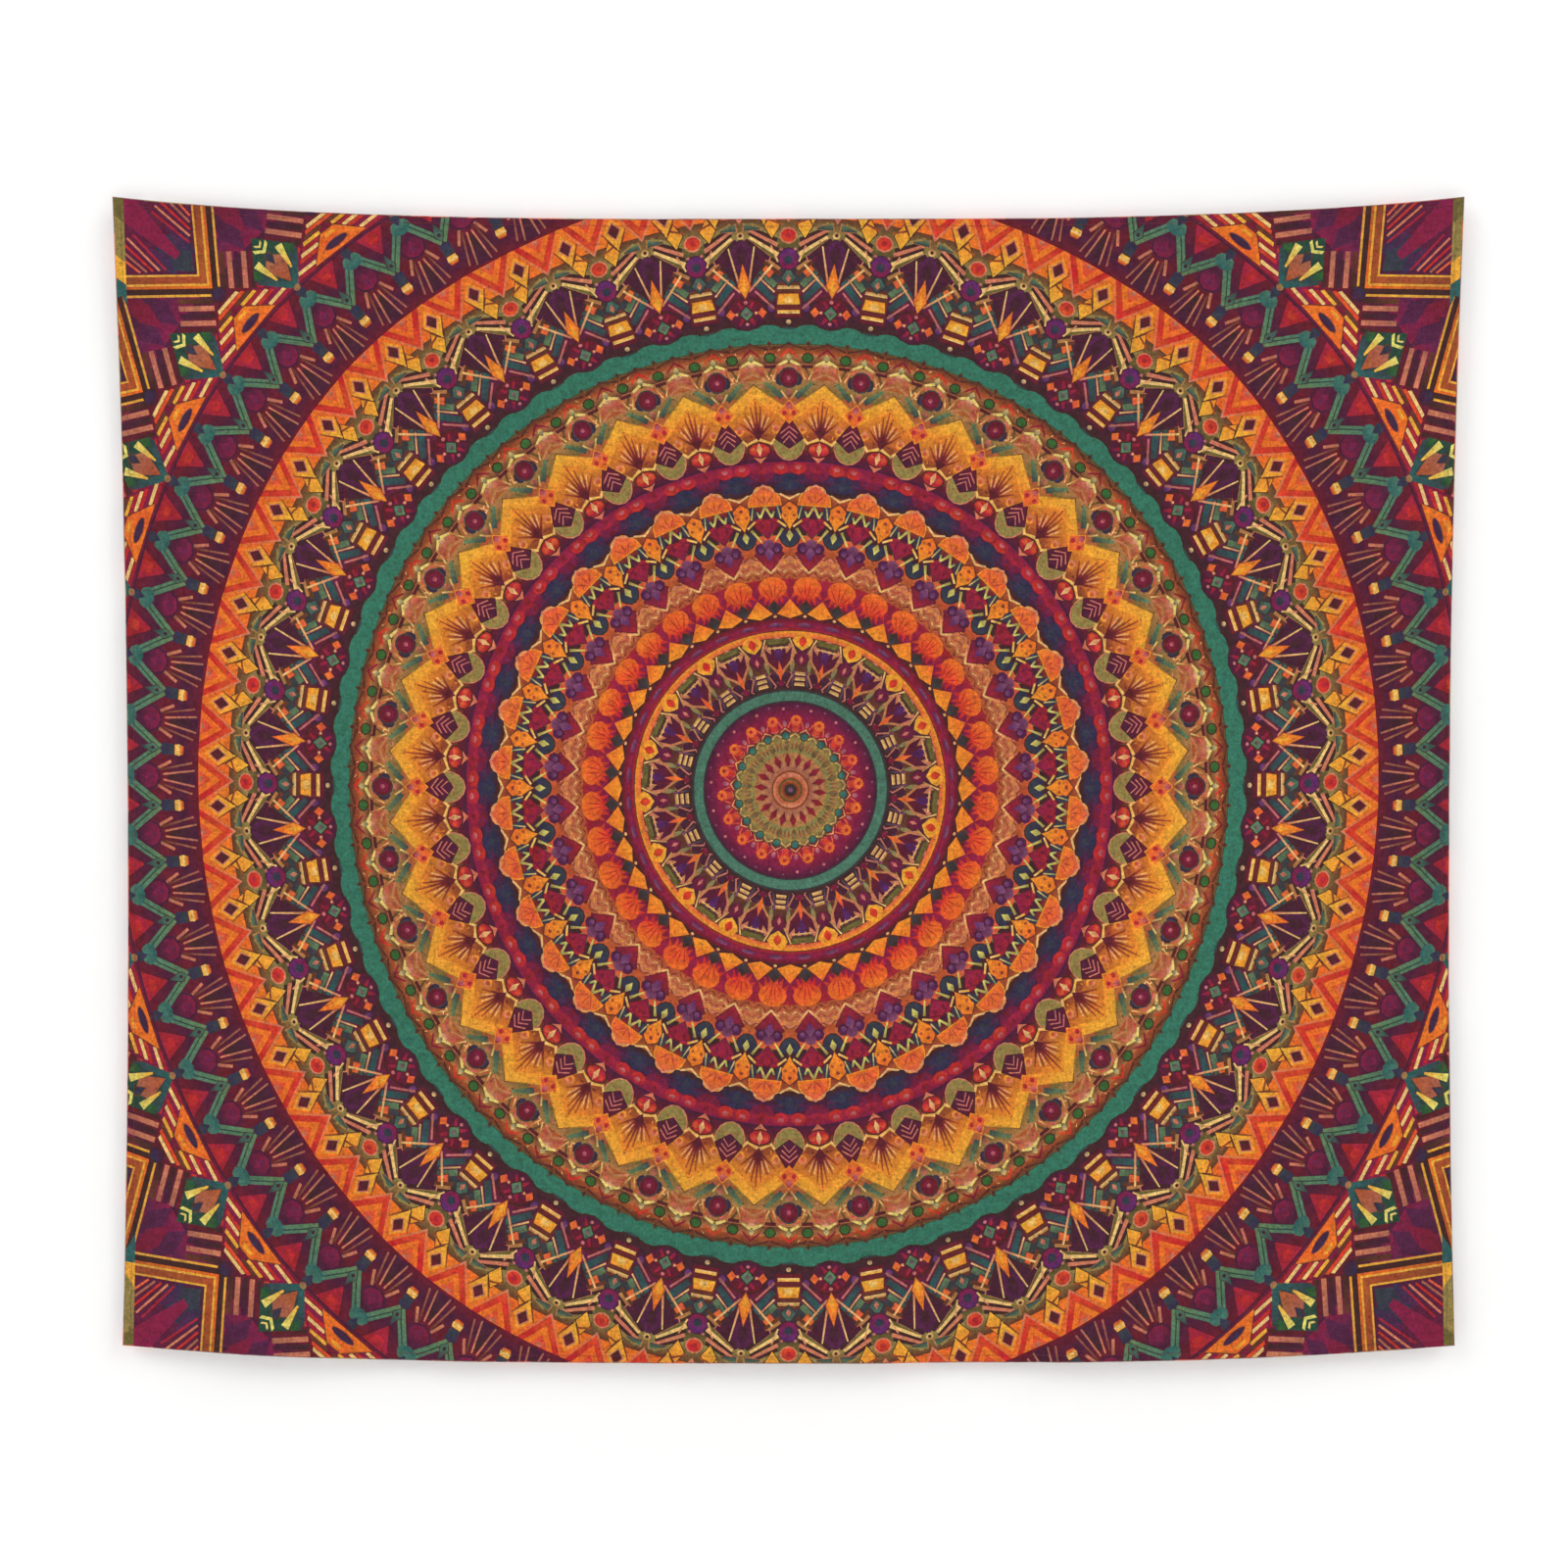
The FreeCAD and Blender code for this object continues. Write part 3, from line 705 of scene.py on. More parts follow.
def draw_badges(plan):
    """Square badges of green, gold and rust that stand on one corner."""
    plan.put(PETALS, kite(797, 873, 33), "slate", "forest")
    plan.put(PETALS, both(stroke(1, 801, 30, 832, 7.6)), "sea", "slate")
    plan.put(PETALS, kite(806, 848, 15.5, 0.66), "rust", "clay")
    plan.put(PETALS, both(kite(828, 844, 6.0, aside=25)), "forest", "leaf")
    plan.put(PETALS, both(stroke(11.5, 818, 17.5, 847, 2.4, 9.5)), "gold", "straw")
    plan.edged(PETALS, kite(834, 851, 5.0, 0.6), "navy", "slate", "brown", 1.4)
    plan.put(PETALS, vee(850, 857, 10, 4.5), "straw", "straw")
    plan.put(PETALS, vee(858, 862, 5, 3.0), "straw", "cream")
    plan.put(PETALS, disc(797, 4.5, 4.0, sides=8), "clay", "khaki")


def draw_corner_field(plan):
    """Beyond the field: lozenges and corner bars on the spokes' axes, badges on the petals'."""
    plan.put(PETALS, both(kite(868, 925, 14, 0.5, aside=15)), "grape", "plum")
    plan.put(PETALS, kite(880, 940, 12, 0.5), "magenta", "wine")
    draw_lozenges(plan)
    draw_corner_bars(plan)
    draw_badges(plan)


def draw_print():
    random.seed(5)
    plan = Plan()
    draw_grounds(plan)
    draw_medallion(plan)
    draw_sprigs(plan)
    draw_petal_rings(plan)
    draw_domes(plan)
    draw_shields(plan)
    draw_beads(plan)
    draw_teal_ring(plan)
    draw_blossoms(plan)
    draw_fans(plan)
    draw_orange_ring(plan)
    draw_outer_field(plan)
    draw_corner_field(plan)
    return plan


# ---------------------------------------------------------------- the flat cloth's mesh

# the whole print is narrowed and set down a little, and its middle is lifted, moved aside and
# stretched upwards, less and less out to the reach
PRINT_SQUEEZE = 0.98
PRINT_DROP = 3.6
LIFT = 14.3
LIFT_REACH = 610.0
LIFT_POWER = 1.6
LIFT_ASIDE = 2.2
LIFT_STRETCH = 0.0065
FIRST_AXIS = 85.0
TURNS = 18
WELD = 0.02
CUT_NEAR = 0.001

# faces of one shape are merged where its outline turns by less than this many degrees
SLICE_MERGE = 3.0
CLOTH_MERGE = 0.6

# the strip down each side edge, patched in other dyes for a run from each corner
BORDER = 12.0
BORDER_RUN = 118.0
BORDER_PATCHES = ("olive", "khaki", "khaki", "gold", "sea")


def cut_across(bm, place, normal, trim=False):
    """Cuts the flat cloth along a line, and takes away what lies beyond it when it is a trim."""
    everything = bm.verts[:] + bm.edges[:] + bm.faces[:]
    bmesh.ops.bisect_plane(
        bm, geom=everything, dist=CUT_NEAR, plane_co=place, plane_no=normal, clear_outer=trim
    )


def merge_shapes(bm, shown, degrees):
    """Joins the faces of one shape, and drops the points its outline doesn't need."""
    for edge in bm.edges:
        edge.seam = len({face[shown] for face in edge.link_faces}) > 1
    bmesh.ops.dissolve_limit(
        bm, angle_limit=math.radians(degrees), verts=bm.verts, edges=bm.edges, delimit={"SEAM"}
    )


def slice_of_print(plan):
    """One slice as flat triangles: its points, its faces, and the shape that shows on each face."""
    points = []
    faces = []
    for polygon in plan.polygons:
        faces.append(list(range(len(points), len(points) + len(polygon))))
        points += [Vector(corner) for corner in polygon]
    points, _, faces, _, _, sources = delaunay_2d_cdt(points, [], faces, 1, WELD, True)
    bm = bmesh.new()
    shown = bm.faces.layers.int.new("shape")
    corners = [bm.verts.new((point.x, point.y, 0)) for point in points]
    for face, source in zip(faces, sources):
        if source and min(source) < plan.grounds:
            bm.faces.new([corners[i] for i in face])[shown] = max(source)
    bmesh.ops.delete(bm, geom=[v for v in bm.verts if not v.link_faces], context="VERTS")
    merge_shapes(bm, shown, SLICE_MERGE)
    bmesh.ops.triangulate(bm, faces=bm.faces)
    bm.verts.index_update()
    places = np.array([vert.co[:2] for vert in bm.verts])
    triangles = np.array([[vert.index for vert in face.verts] for face in bm.faces])
    shapes = np.array([face[shown] for face in bm.faces])
    bm.free()
    return places, triangles, shapes


def printed_place(places, radii):
    """Where the plan's points were printed: narrowed a little, with the middle set up and aside."""
    lift = np.clip(1 - (radii / LIFT_REACH) ** 2, 0, 1)[:, None] ** LIFT_POWER
    moved = places * (PRINT_SQUEEZE, 1) - (0, PRINT_DROP)
    return moved + lift * (places * (-LIFT_STRETCH, LIFT_STRETCH) + (LIFT_ASIDE, LIFT))


# rows cut across the flat cloth where its lower half folds, counted down from its middle
BEND_TOP = 33.0
BEND_STEP = 6.5
BEND_CUTS = 15


def flat_cloth(plan):
    """The whole print, cut to the cloth's rectangle, as flat triangles in millimetres."""
    places, triangles, shapes = slice_of_print(plan)
    all_places = []
    all_triangles = []
    for i in range(TURNS):
        turn = math.radians(90 - FIRST_AXIS + i * 360 / TURNS)
        for mirror in (1, -1):
            x, y = places[:, 0] * mirror, places[:, 1]
            turned_x = x * math.cos(turn) + y * math.sin(turn)
            turned_y = y * math.cos(turn) - x * math.sin(turn)
            order = triangles if mirror > 0 else triangles[:, ::-1]
            all_triangles.append(order + len(places) * len(all_places))
            all_places.append(np.stack([turned_x, turned_y], 1))
    places = np.concatenate(all_places)
    radii = np.hypot(places[:, 0], places[:, 1])
    places = printed_place(places, radii)
    points = np.c_[places, np.zeros(len(places))]
    mesh = bpy.data.meshes.new("flat_cloth")
    mesh.from_pydata(points.tolist(), [], np.concatenate(all_triangles).tolist())
    mesh.attributes.new("shape", "INT", "FACE").data.foreach_set("value", np.tile(shapes, 2 * TURNS))
    mesh.attributes.new("radius", "FLOAT", "POINT").data.foreach_set("value", radii.astype(np.float32))
    bm = bmesh.new()
    bm.from_mesh(mesh)
    bmesh.ops.remove_doubles(bm, verts=bm.verts, dist=WELD)
    merge_shapes(bm, bm.faces.layers.int["shape"], CLOTH_MERGE)
    half_wide, half_high = WIDTH / MM / 2, HEIGHT / MM / 2
    for side in (-1, 1):
        cut_across(bm, (side * half_wide, 0, 0), (side, 0, 0), trim=True)
    for side in (-1, 1):
        cut_across(bm, (0, side * half_high, 0), (0, side, 0), trim=True)
    for side in (-1, 1):
        cut_across(bm, (side * (half_wide - BORDER), 0, 0), (1, 0, 0))
    for i in range(BEND_CUTS):
        cut_across(bm, (0, BEND_TOP - i * BEND_STEP, 0), (0, 1, 0))
    bmesh.ops.triangulate(bm, faces=bm.faces)
    bm.to_mesh(mesh)
    bm.free()
    return mesh


def colour_print(mesh, plan):
    """Writes each face's dye, shading from its shape's inner end to its outer one."""
    vertex = loop_vertices(mesh)
    shape = np.zeros(len(mesh.polygons), np.int32)
    mesh.attributes["shape"].data.foreach_get("value", shape)
    co = np.zeros(len(mesh.vertices) * 3)
    mesh.vertices.foreach_get("co", co)
    flat = co.reshape(-1, 3)[vertex, :2]
    radius = np.zeros(len(mesh.vertices))
    mesh.attributes["radius"].data.foreach_get("value", radius)
    radius = radius[vertex]
    inner = np.array([entry[0] for entry in plan.dyes])[shape].repeat(3, 0)
    outer = np.array([entry[1] for entry in plan.dyes])[shape].repeat(3, 0)
    low = np.array([entry[2] for entry in plan.dyes])[shape].repeat(3)
    high = np.array([entry[3] for entry in plan.dyes])[shape].repeat(3)
    share = np.clip((radius - low) / (high - low), 0, 1)[:, None]
    colours = inner * (1 - share) + outer * share
    middle = flat.reshape(-1, 3, 2).mean(1).repeat(3, 0)
    at_side = np.abs(middle[:, 0]) > WIDTH / MM / 2 - BORDER
    from_corner = (HEIGHT / MM / 2 - np.abs(middle[:, 1])) / BORDER_RUN
    patch = np.floor(from_corner * len(BORDER_PATCHES)).astype(int)
    for i, name in enumerate(BORDER_PATCHES):
        colours[at_side & (patch == i)] = dye(name)
    layer = mesh.color_attributes.new("dye", "FLOAT_COLOR", "CORNER")
    layer.data.foreach_set("color", colours.astype(np.float32).ravel())
    mesh.attributes.remove(mesh.attributes["shape"])
    mesh.attributes.remove(mesh.attributes["radius"])


# ---------------------------------------------------------------- how the cloth hangs

# the cloth narrows down its sides by a curve of these two terms, its top and bottom edges follow
# a flatter curve than the rows between them, and its middle sags and spreads a little more
FOOT_SHARE = (-0.0722, 0.0577)
EDGE_POWER = 3.3
INNER_POWER = 1.5
INNER_SAG = 0.0095
MIDDLE_SPREAD = 0.022

# how soon below the top edge the spread and the rows' own curve are full: more is sooner
SPREAD_ONSET = 3.0
CURVE_ONSET = 2.1

# each soft fold's height, its waves across and down the cloth, its phase, and how much of it is
# left at the top edge
FOLDS = (
    (0.0024, 1.45, 0.22, 0.12, 0.4),
    (0.0011, 3.4, -0.5, 0.37, 0.3),
)
FOOT_FOLDS = 0.0016
FOOT_FOLDS_FROM = 0.72
FOOT_FOLD_WAVES = 2.3
CORNER_FOLDS = 0.0016
CORNER_FOLD_RAYS = 7.5
CORNER_FOLDS_AT = 0.30
CORNER_FOLDS_REACH = 0.20

# the two sides of the one long crease near the right edge: height, offset, half width, half length
CREASE_X, CREASE_Z = 0.655, -0.34
CREASE_LEAN = (0.94, 0.22)
CREASE_ALONG = 0.97
CREASE_MIDDLE_Z = -0.36
CREASE_SIDES = (
    (0.0056, 0.0, 0.030, 0.13),
    (-0.0038, 0.055, 0.034, 0.15),
)
WRINKLE_COUNT = 26
WRINKLE_HEIGHT = 0.00225

# within this far from a hook the cloth lies calm, and beyond the second it moves freely
CALM = (0.06, 0.26)


def draw_wrinkles():
    """Small waves over the whole cloth: waves a metre across and down, phase and height."""
    random.seed(11)
    wrinkles = []
    for _ in range(WRINKLE_COUNT):
        heading = random.uniform(-0.9, 0.9)
        crests = random.uniform(7, 22)
        across, down = crests * math.cos(heading), crests * math.sin(heading)
        wrinkles.append((across, down, random.uniform(0, 6.28), WRINKLE_HEIGHT / crests))
    return wrinkles


WRINKLES = draw_wrinkles()


def smooth(low, high, value):
    """Eases from 0 at the low value to 1 at the high one."""
    share = np.clip((value - low) / (high - low), 0, 1)
    return share * share * (3 - 2 * share)


def relief(x, z):
    """How far the hung cloth bows towards the room, in metres, at a place on its face."""
    u = x / (WIDTH / 2)
    v = (TOP - z) / HEIGHT
    bow = FOOT_FOLDS * np.sin(2 * np.pi * (FOOT_FOLD_WAVES * u + 0.1)) * smooth(FOOT_FOLDS_FROM, 1.0, v)
    for height, across, down, phase, at_top in FOLDS:
        bow += height * np.sin(2 * np.pi * (across * u + down * v + phase)) * (at_top + (1 - at_top) * v)
    for side in (-1, 1):
        from_corner = np.hypot(x - side * WIDTH / 2, z - TOP)
        turn = np.arctan2(TOP - z, (side * WIDTH / 2 - x) * side)
        fade = np.exp(-(((from_corner - CORNER_FOLDS_AT) / CORNER_FOLDS_REACH) ** 2))
        bow += CORNER_FOLDS * np.sin(CORNER_FOLD_RAYS * turn + side) * fade
    aside = (x - CREASE_X) * CREASE_LEAN[0] + (z - CREASE_Z) * CREASE_LEAN[1]
    along = (z - CREASE_MIDDLE_Z) * CREASE_ALONG
    for height, offset, half_wide, half_long in CREASE_SIDES:
        bow += height * np.exp(-(((aside + offset) / half_wide) ** 2) - (along / half_long) ** 2)
    for across, down, phase, height in WRINKLES:
        bow += height * np.sin(2 * np.pi * (across * x + down * z) + phase)
    hooked = np.minimum(np.hypot(x - WIDTH / 2, z - TOP), np.hypot(x + WIDTH / 2, z - TOP))
    return bow * smooth(CALM[0], CALM[1], hooked)


def hang(flat_x, flat_y, depth):
    """Where points of the flat cloth hang. flat_y counts down from the top edge."""
    u = flat_x / (WIDTH / 2)
    v = flat_y / HEIGHT
    inside = 4 * v * (1 - v)
    half = WIDTH / 2 * (1 + FOOT_SHARE[0] * v + FOOT_SHARE[1] * v * v)
    x = u * half * (1 + MIDDLE_SPREAD * (1 - u * u) * np.minimum(1, SPREAD_ONSET * inside))
    power = EDGE_POWER - (EDGE_POWER - INNER_POWER) * np.minimum(1, CURVE_ONSET * inside)
    sag = (TOP_SAG + (BOTTOM_BOW - TOP_SAG) * v + INNER_SAG * inside) * (1 - np.abs(u) ** power)
    z = TOP - flat_y - sag
    return np.stack([x, depth - relief(x, z), z], -1)


def facing(flat_x, flat_y):
    """The hung cloth's normals towards the room."""
    step = MM
    flat_x = np.clip(flat_x, 2 * step - WIDTH / 2, WIDTH / 2 - 2 * step)
    flat_y = np.clip(flat_y, 2 * step, HEIGHT - 2 * step)
    across = hang(flat_x + step, flat_y, 0) - hang(flat_x - step, flat_y, 0)
    down = hang(flat_x, flat_y + step, 0) - hang(flat_x, flat_y - step, 0)
    normal = np.cross(down, across)
    return normal / np.linalg.norm(normal, axis=1)[:, None]


def loop_vertices(mesh):
    """The vertex that each face corner of the mesh uses."""
    vertex = np.zeros(len(mesh.loops), np.int32)
    mesh.loops.foreach_get("vertex_index", vertex)
    return vertex


def write_flat_places(mesh, flats):
    """Keeps each vertex's place on the flat cloth or tape as the UV map that the weaves follow."""
    layer = mesh.uv_layers.new(name="cloth")
    layer.data.foreach_set("uv", flats[loop_vertices(mesh)].astype(np.float32).ravel())


def hang_mesh(mesh, depth, side):
    """Hangs a flat mesh at a depth; side is 1 for the face towards the room, -1 for the back."""
    co = np.zeros(len(mesh.vertices) * 3)
    mesh.vertices.foreach_get("co", co)
    flat = co.reshape(-1, 3)[:, :2] * MM
    flat_x = flat[:, 0]
    flat_y = HEIGHT / 2 - flat[:, 1]
    hung = hang(flat_x, flat_y, depth)
    normals = facing(flat_x, flat_y)
    write_flat_places(mesh, flat)
    mesh.vertices.foreach_set("co", hung.ravel())
    if side < 0:
        mesh.flip_normals()
    mesh.update()
    mesh.shade_smooth()
    mesh.normals_split_custom_set_from_vertices((normals * side).tolist())


# ---------------------------------------------------------------- materials

# linear colours of the finishes
# painted shade: the near black mixed into the gaps between the woven threads
WEAVE_GAP_SHADE = (0.02, 0.012, 0.012, 1)
INK_SPECK = (0.05, 0.014, 0.022, 1)
PALE_BACK = (0.80, 0.74, 0.69, 1)
PALEST_BACK = (0.82, 0.78, 0.74, 1)
WORN_FOLD = (0.62, 0.50, 0.43, 1)
# painted shade: the tape's colour in the grooves between its ribs
TAPE_GROOVE_SHADE = (0.47, 0.41, 0.32, 1)
TAPE_LIGHT = (0.72, 0.66, 0.55, 1)
# painted shade: the tack thread's colour in the gaps between its plies
TACK_PLY_SHADE = (0.42, 0.35, 0.27, 1)
TACK_LIGHT = (0.70, 0.62, 0.50, 1)
PLASTIC_DARK = (0.76, 0.76, 0.73, 1)
PLASTIC_LIGHT = (0.83, 0.83, 0.81, 1)
FOAM_LIGHT = (0.70, 0.70, 0.68, 1)
FOAM_DARK = (0.52, 0.52, 0.50, 1)

# how far apart threads, plies and ribs lie
WEAVE_PITCH = 0.0011
PLY_PITCH = 0.0005
RIB_PITCH = 0.0012
HERRINGBONE = 0.002


def node(tree, kind, inputs=None, **settings):
    """A new node; an input is given a value or another node's output."""
    made = tree.nodes.new(kind)
    for name, value in settings.items():
        setattr(made, name, value)
    for name, value in (inputs or {}).items():
        if isinstance(value, bpy.types.NodeSocket):
            tree.links.new(value, made.inputs[name])
        else:
            made.inputs[name].default_value = value
    return made


def maths(tree, operation, first, second=0.0):
    """One sum on two numbers or outputs."""
    return node(tree, "ShaderNodeMath", {0: first, 1: second}, operation=operation).outputs[0]


def ramp(tree, value, low, high, new_low=0.0, new_high=1.0):
    """A value stretched from one range to another, and held at its ends."""
    made = node(tree, "ShaderNodeMapRange", {0: value, 1: low, 2: high, 3: new_low, 4: new_high})
    return made.outputs[0]


def mix(tree, factor, first, second):
    """The first colour, with a share of the second."""
    return node(tree, "ShaderNodeMix", {0: factor, 6: first, 7: second}, data_type="RGBA").outputs[2]


def grain(tree, place, scale, detail=3.0):
    """Cloudy noise."""
    inputs = {"Vector": place, "Scale": scale, "Detail": detail, "Roughness": 0.55}
    return node(tree, "ShaderNodeTexNoise", inputs).outputs[0]


def shaded(tree, value, colour):
    """A colour made lighter or darker."""
    return node(tree, "ShaderNodeHueSaturation", {"Value": value, "Color": colour})


def waves(tree, value, pitch):
    """A sine of a distance, once each pitch."""
    return maths(tree, "SINE", maths(tree, "MULTIPLY", value, 2 * math.pi / pitch))


def new_material(name, **constants):
    """A material whose shader has these constants set on its own sockets."""
    material = bpy.data.materials.new(name)
    material.use_nodes = True
    tree = material.node_tree
    shader = tree.nodes["Principled BSDF"]
    for socket, value in constants.items():
        shader.inputs[socket.replace("_", " ")].default_value = value
    return material, tree, shader


def plain_weave(tree, place):
    """Over-and-under threads: 0 in the gaps to 1 on the crowns."""
    parts = node(tree, "ShaderNodeSeparateXYZ", {0: place}).outputs
    crossing = maths(
        tree, "MULTIPLY", waves(tree, parts[0], WEAVE_PITCH), waves(tree, parts[1], WEAVE_PITCH)
    )
    return ramp(tree, crossing, -1.0, 1.0)


def dress(tree, shader, colour, roughness, height, strength, distance):
    """Joins a finish's colour, its roughness and its fine relief to the shader."""
    tree.links.new(colour, shader.inputs["Base Color"])
    tree.links.new(roughness, shader.inputs["Roughness"])
    bump = node(tree, "ShaderNodeBump", {"Height": height, "Strength": strength, "Distance": distance})
    tree.links.new(bump.outputs[0], shader.inputs["Normal"])


def streaks(tree, place, along, across):
    """Noise drawn out along the threads."""
    scaled = node(tree, "ShaderNodeMapping", {"Vector": place, "Scale": (along, across, 1.0)})
    return grain(tree, scaled.outputs[0], 1.0, 2.0)


def cloth_material(name, back):
    """The printed polyester: full dyes on the face, a pale ghost of them on the back."""
    material, tree, shader = new_material(
        name, Sheen_Weight=0.12, Sheen_Roughness=0.45, Specular_IOR_Level=0.22, Roughness=0.8
    )
    place = node(tree, "ShaderNodeUVMap", uv_map="cloth").outputs[0]
    colour = node(tree, "ShaderNodeAttribute", attribute_name="dye").outputs["Color"]
    broad = ramp(tree, grain(tree, place, 3.2), 0.3, 0.7, 0.93, 1.06)
    mottle = ramp(tree, grain(tree, place, 110.0, 4.0), 0.25, 0.75, 0.74, 1.2)
    speckle = ramp(tree, grain(tree, place, 300.0, 2.0), 0.25, 0.75, 0.68, 1.26)
    threads = maths(tree, "ADD", streaks(tree, place, 45.0, 900.0), streaks(tree, place, 900.0, 45.0))
    threads = ramp(tree, threads, 0.7, 1.3, 0.86, 1.12)
    clouds = maths(tree, "MULTIPLY", broad, mottle)
    texture = maths(tree, "MULTIPLY", speckle, threads)
    shade = shaded(tree, maths(tree, "MULTIPLY", clouds, texture), colour)
    hue = ramp(tree, grain(tree, place, 40.0), 0.2, 0.8, 0.488, 0.512)
    tree.links.new(hue, shade.inputs["Hue"])
    ink = ramp(tree, grain(tree, place, 240.0, 2.0), 0.56, 0.72, 0.0, 0.5)
    shown = mix(tree, ink, shade.outputs[0], INK_SPECK)
    weave = plain_weave(tree, place)
    # painted shade: the gaps between the threads are darkened towards near black
    shown = mix(tree, ramp(tree, weave, 0.0, 0.45, 0.16, 0.0), shown, WEAVE_GAP_SHADE)
    if back:
        blotches = ramp(tree, grain(tree, place, 14.0), 0.35, 0.75, 0.0, 0.25)
        shown = mix(tree, blotches, mix(tree, 0.62, shown, PALE_BACK), PALEST_BACK)
    roughness = ramp(tree, mottle, 0.8, 1.18, 0.88, 0.74)
    height = maths(tree, "ADD", weave, maths(tree, "MULTIPLY", threads, 1.4))
    dress(tree, shader, shown, roughness, height, 0.35, 0.00025)
    return material


def hem_material():
    """The hem's turned-over cloth: the print's border colours, worn pale along the fold."""
    material, tree, shader = new_material(
        "hem_cloth", Sheen_Weight=0.12, Sheen_Roughness=0.45, Roughness=0.82
    )
    place = node(tree, "ShaderNodeUVMap", uv_map="cloth").outputs[0]
    patches = node(tree, "ShaderNodeTexVoronoi", {"Vector": place, "Scale": 26.0, "Randomness": 1.0})
    pick = node(tree, "ShaderNodeSeparateColor", {0: patches.outputs["Color"]}).outputs[0]
    colour = mix(tree, ramp(tree, pick, 0.35, 0.4), dye("wine"), dye("plum"))
    colour = mix(tree, ramp(tree, pick, 0.62, 0.66), colour, dye("vermilion"))
    colour = mix(tree, ramp(tree, pick, 0.84, 0.88), colour, dye("khaki"))
    weave = plain_weave(tree, place)
    # painted shade: the gaps between the threads are darkened towards near black
    colour = mix(tree, ramp(tree, weave, 0.0, 0.45, 0.2, 0.0), colour, WEAVE_GAP_SHADE)
    fold = node(tree, "ShaderNodeAttribute", attribute_name="fold").outputs["Fac"]
    wear = maths(tree, "MULTIPLY", fold, ramp(tree, grain(tree, place, 160.0), 0.3, 0.7, 0.45, 0.85))
    colour = mix(tree, wear, colour, WORN_FOLD)
    mottle = ramp(tree, grain(tree, place, 130.0), 0.25, 0.75, 0.75, 1.2)
    roughness = ramp(tree, mottle, 0.75, 1.2, 0.9, 0.76)
    dress(tree, shader, shaded(tree, mottle, colour).outputs[0], roughness, weave, 0.4, 0.00025)
    return material


def thread_material(name, light, ply_shade):
    """Twisted thread: fine slanting plies, with painted shade in the gaps between them."""
    material, tree, shader = new_material(name, Sheen_Weight=0.3, Sheen_Roughness=0.35, Roughness=0.6)
    place = node(tree, "ShaderNodeTexCoord").outputs["Object"]
    parts = node(tree, "ShaderNodeSeparateXYZ", {0: place}).outputs
    slant = maths(tree, "ADD", maths(tree, "ADD", parts[0], parts[2]), parts[1])
    plies = ramp(tree, waves(tree, slant, PLY_PITCH), -1.0, 1.0)
    fuzz = ramp(tree, grain(tree, place, 260.0), 0.3, 0.7, 0.85, 1.1)
    # painted shade: the darker colour lies in the low gaps between the plies
    colour = shaded(tree, fuzz, mix(tree, plies, ply_shade, light)).outputs[0]
    dress(tree, shader, colour, ramp(tree, plies, 0.0, 1.0, 0.75, 0.5), plies, 0.5, 0.00015)
    return material


def tape_material():
    """Cotton twill tape: a herringbone of slanting ribs, with painted shade in the grooves between them."""
    material, tree, shader = new_material(
        "twill_tape", Sheen_Weight=0.2, Sheen_Roughness=0.5, Roughness=0.85
    )
    place = node(tree, "ShaderNodeUVMap", uv_map="cloth").outputs[0]
    parts = node(tree, "ShaderNodeSeparateXYZ", {0: place}).outputs
    folded = maths(tree, "PINGPONG", parts[1], HERRINGBONE)
    ribs = ramp(tree, waves(tree, maths(tree, "ADD", parts[0], folded), RIB_PITCH), -1.0, 1.0)
    soil = ramp(tree, grain(tree, place, 150.0), 0.3, 0.7, 0.88, 1.08)
    # painted shade: the grooves between the ribs are darker
    colour = shaded(tree, soil, mix(tree, ribs, TAPE_GROOVE_SHADE, TAPE_LIGHT)).outputs[0]
    dress(tree, shader, colour, ramp(tree, ribs, 0.0, 1.0, 0.95, 0.78), ribs, 0.6, 0.0003)
    return material


def plastic_material():
    """Moulded white plastic: satin, with faint flow marks and handling wear."""
    material, tree, shader = new_material(
        "hook_plastic", Specular_IOR_Level=0.5, Roughness=0.35, Coat_Weight=0.1
    )
    place = node(tree, "ShaderNodeTexCoord").outputs["Object"]
    flow = grain(tree, place, 90.0, 3.0)
    colour = mix(tree, ramp(tree, flow, 0.3, 0.7), PLASTIC_DARK, PLASTIC_LIGHT)
    fine = grain(tree, place, 1400.0, 2.0)
    wear = ramp(tree, maths(tree, "ADD", flow, fine), 0.7, 1.3, 0.28, 0.48)
    dress(tree, shader, colour, wear, fine, 0.15, 0.0001)
    return material


def foam_material():
    """Closed-cell foam tape."""
    material, tree, shader = new_material("foam_pad", Specular_IOR_Level=0.3, Roughness=0.75)
    place = node(tree, "ShaderNodeTexCoord").outputs["Object"]
    cells = node(tree, "ShaderNodeTexVoronoi", {"Vector": place, "Scale": 1500.0}).outputs["Distance"]
    colour = mix(tree, ramp(tree, cells, 0.1, 0.6), FOAM_LIGHT, FOAM_DARK)
    dress(tree, shader, colour, ramp(tree, cells, 0.0, 0.6, 0.85, 0.65), cells, 0.4, 0.0002)
    return material


# ---------------------------------------------------------------- pieces


def add_piece(name, mesh, material):
    """A visible piece of the hanging, with its finish."""
    piece = bpy.data.objects.new(name, mesh)
    scene.collection.objects.link(piece)
    mesh.materials.append(material)
    return piece


def across_fold(piece):
    """Bakes the piece's placement into its mesh."""
    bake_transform(piece)


CLOTH_THICK = 0.00035


def make_cloth():
    """The printed face and the cloth's back: one flat mesh, hung twice."""
    plan = draw_print()
    flat = flat_cloth(plan)
    colour_print(flat, plan)
    back = flat.copy()
    back.name = "cloth_back"
    hang_mesh(flat, FRONT, 1)
    hang_mesh(back, FRONT + CLOTH_THICK, -1)
    face_piece = add_piece("printed_cloth", flat, cloth_material("printed_cloth", False))
    back_piece = add_piece("cloth_back", back, cloth_material("cloth_back", True))
    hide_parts("cloth_upper", "cloth_lower")
    return face_piece, back_piece


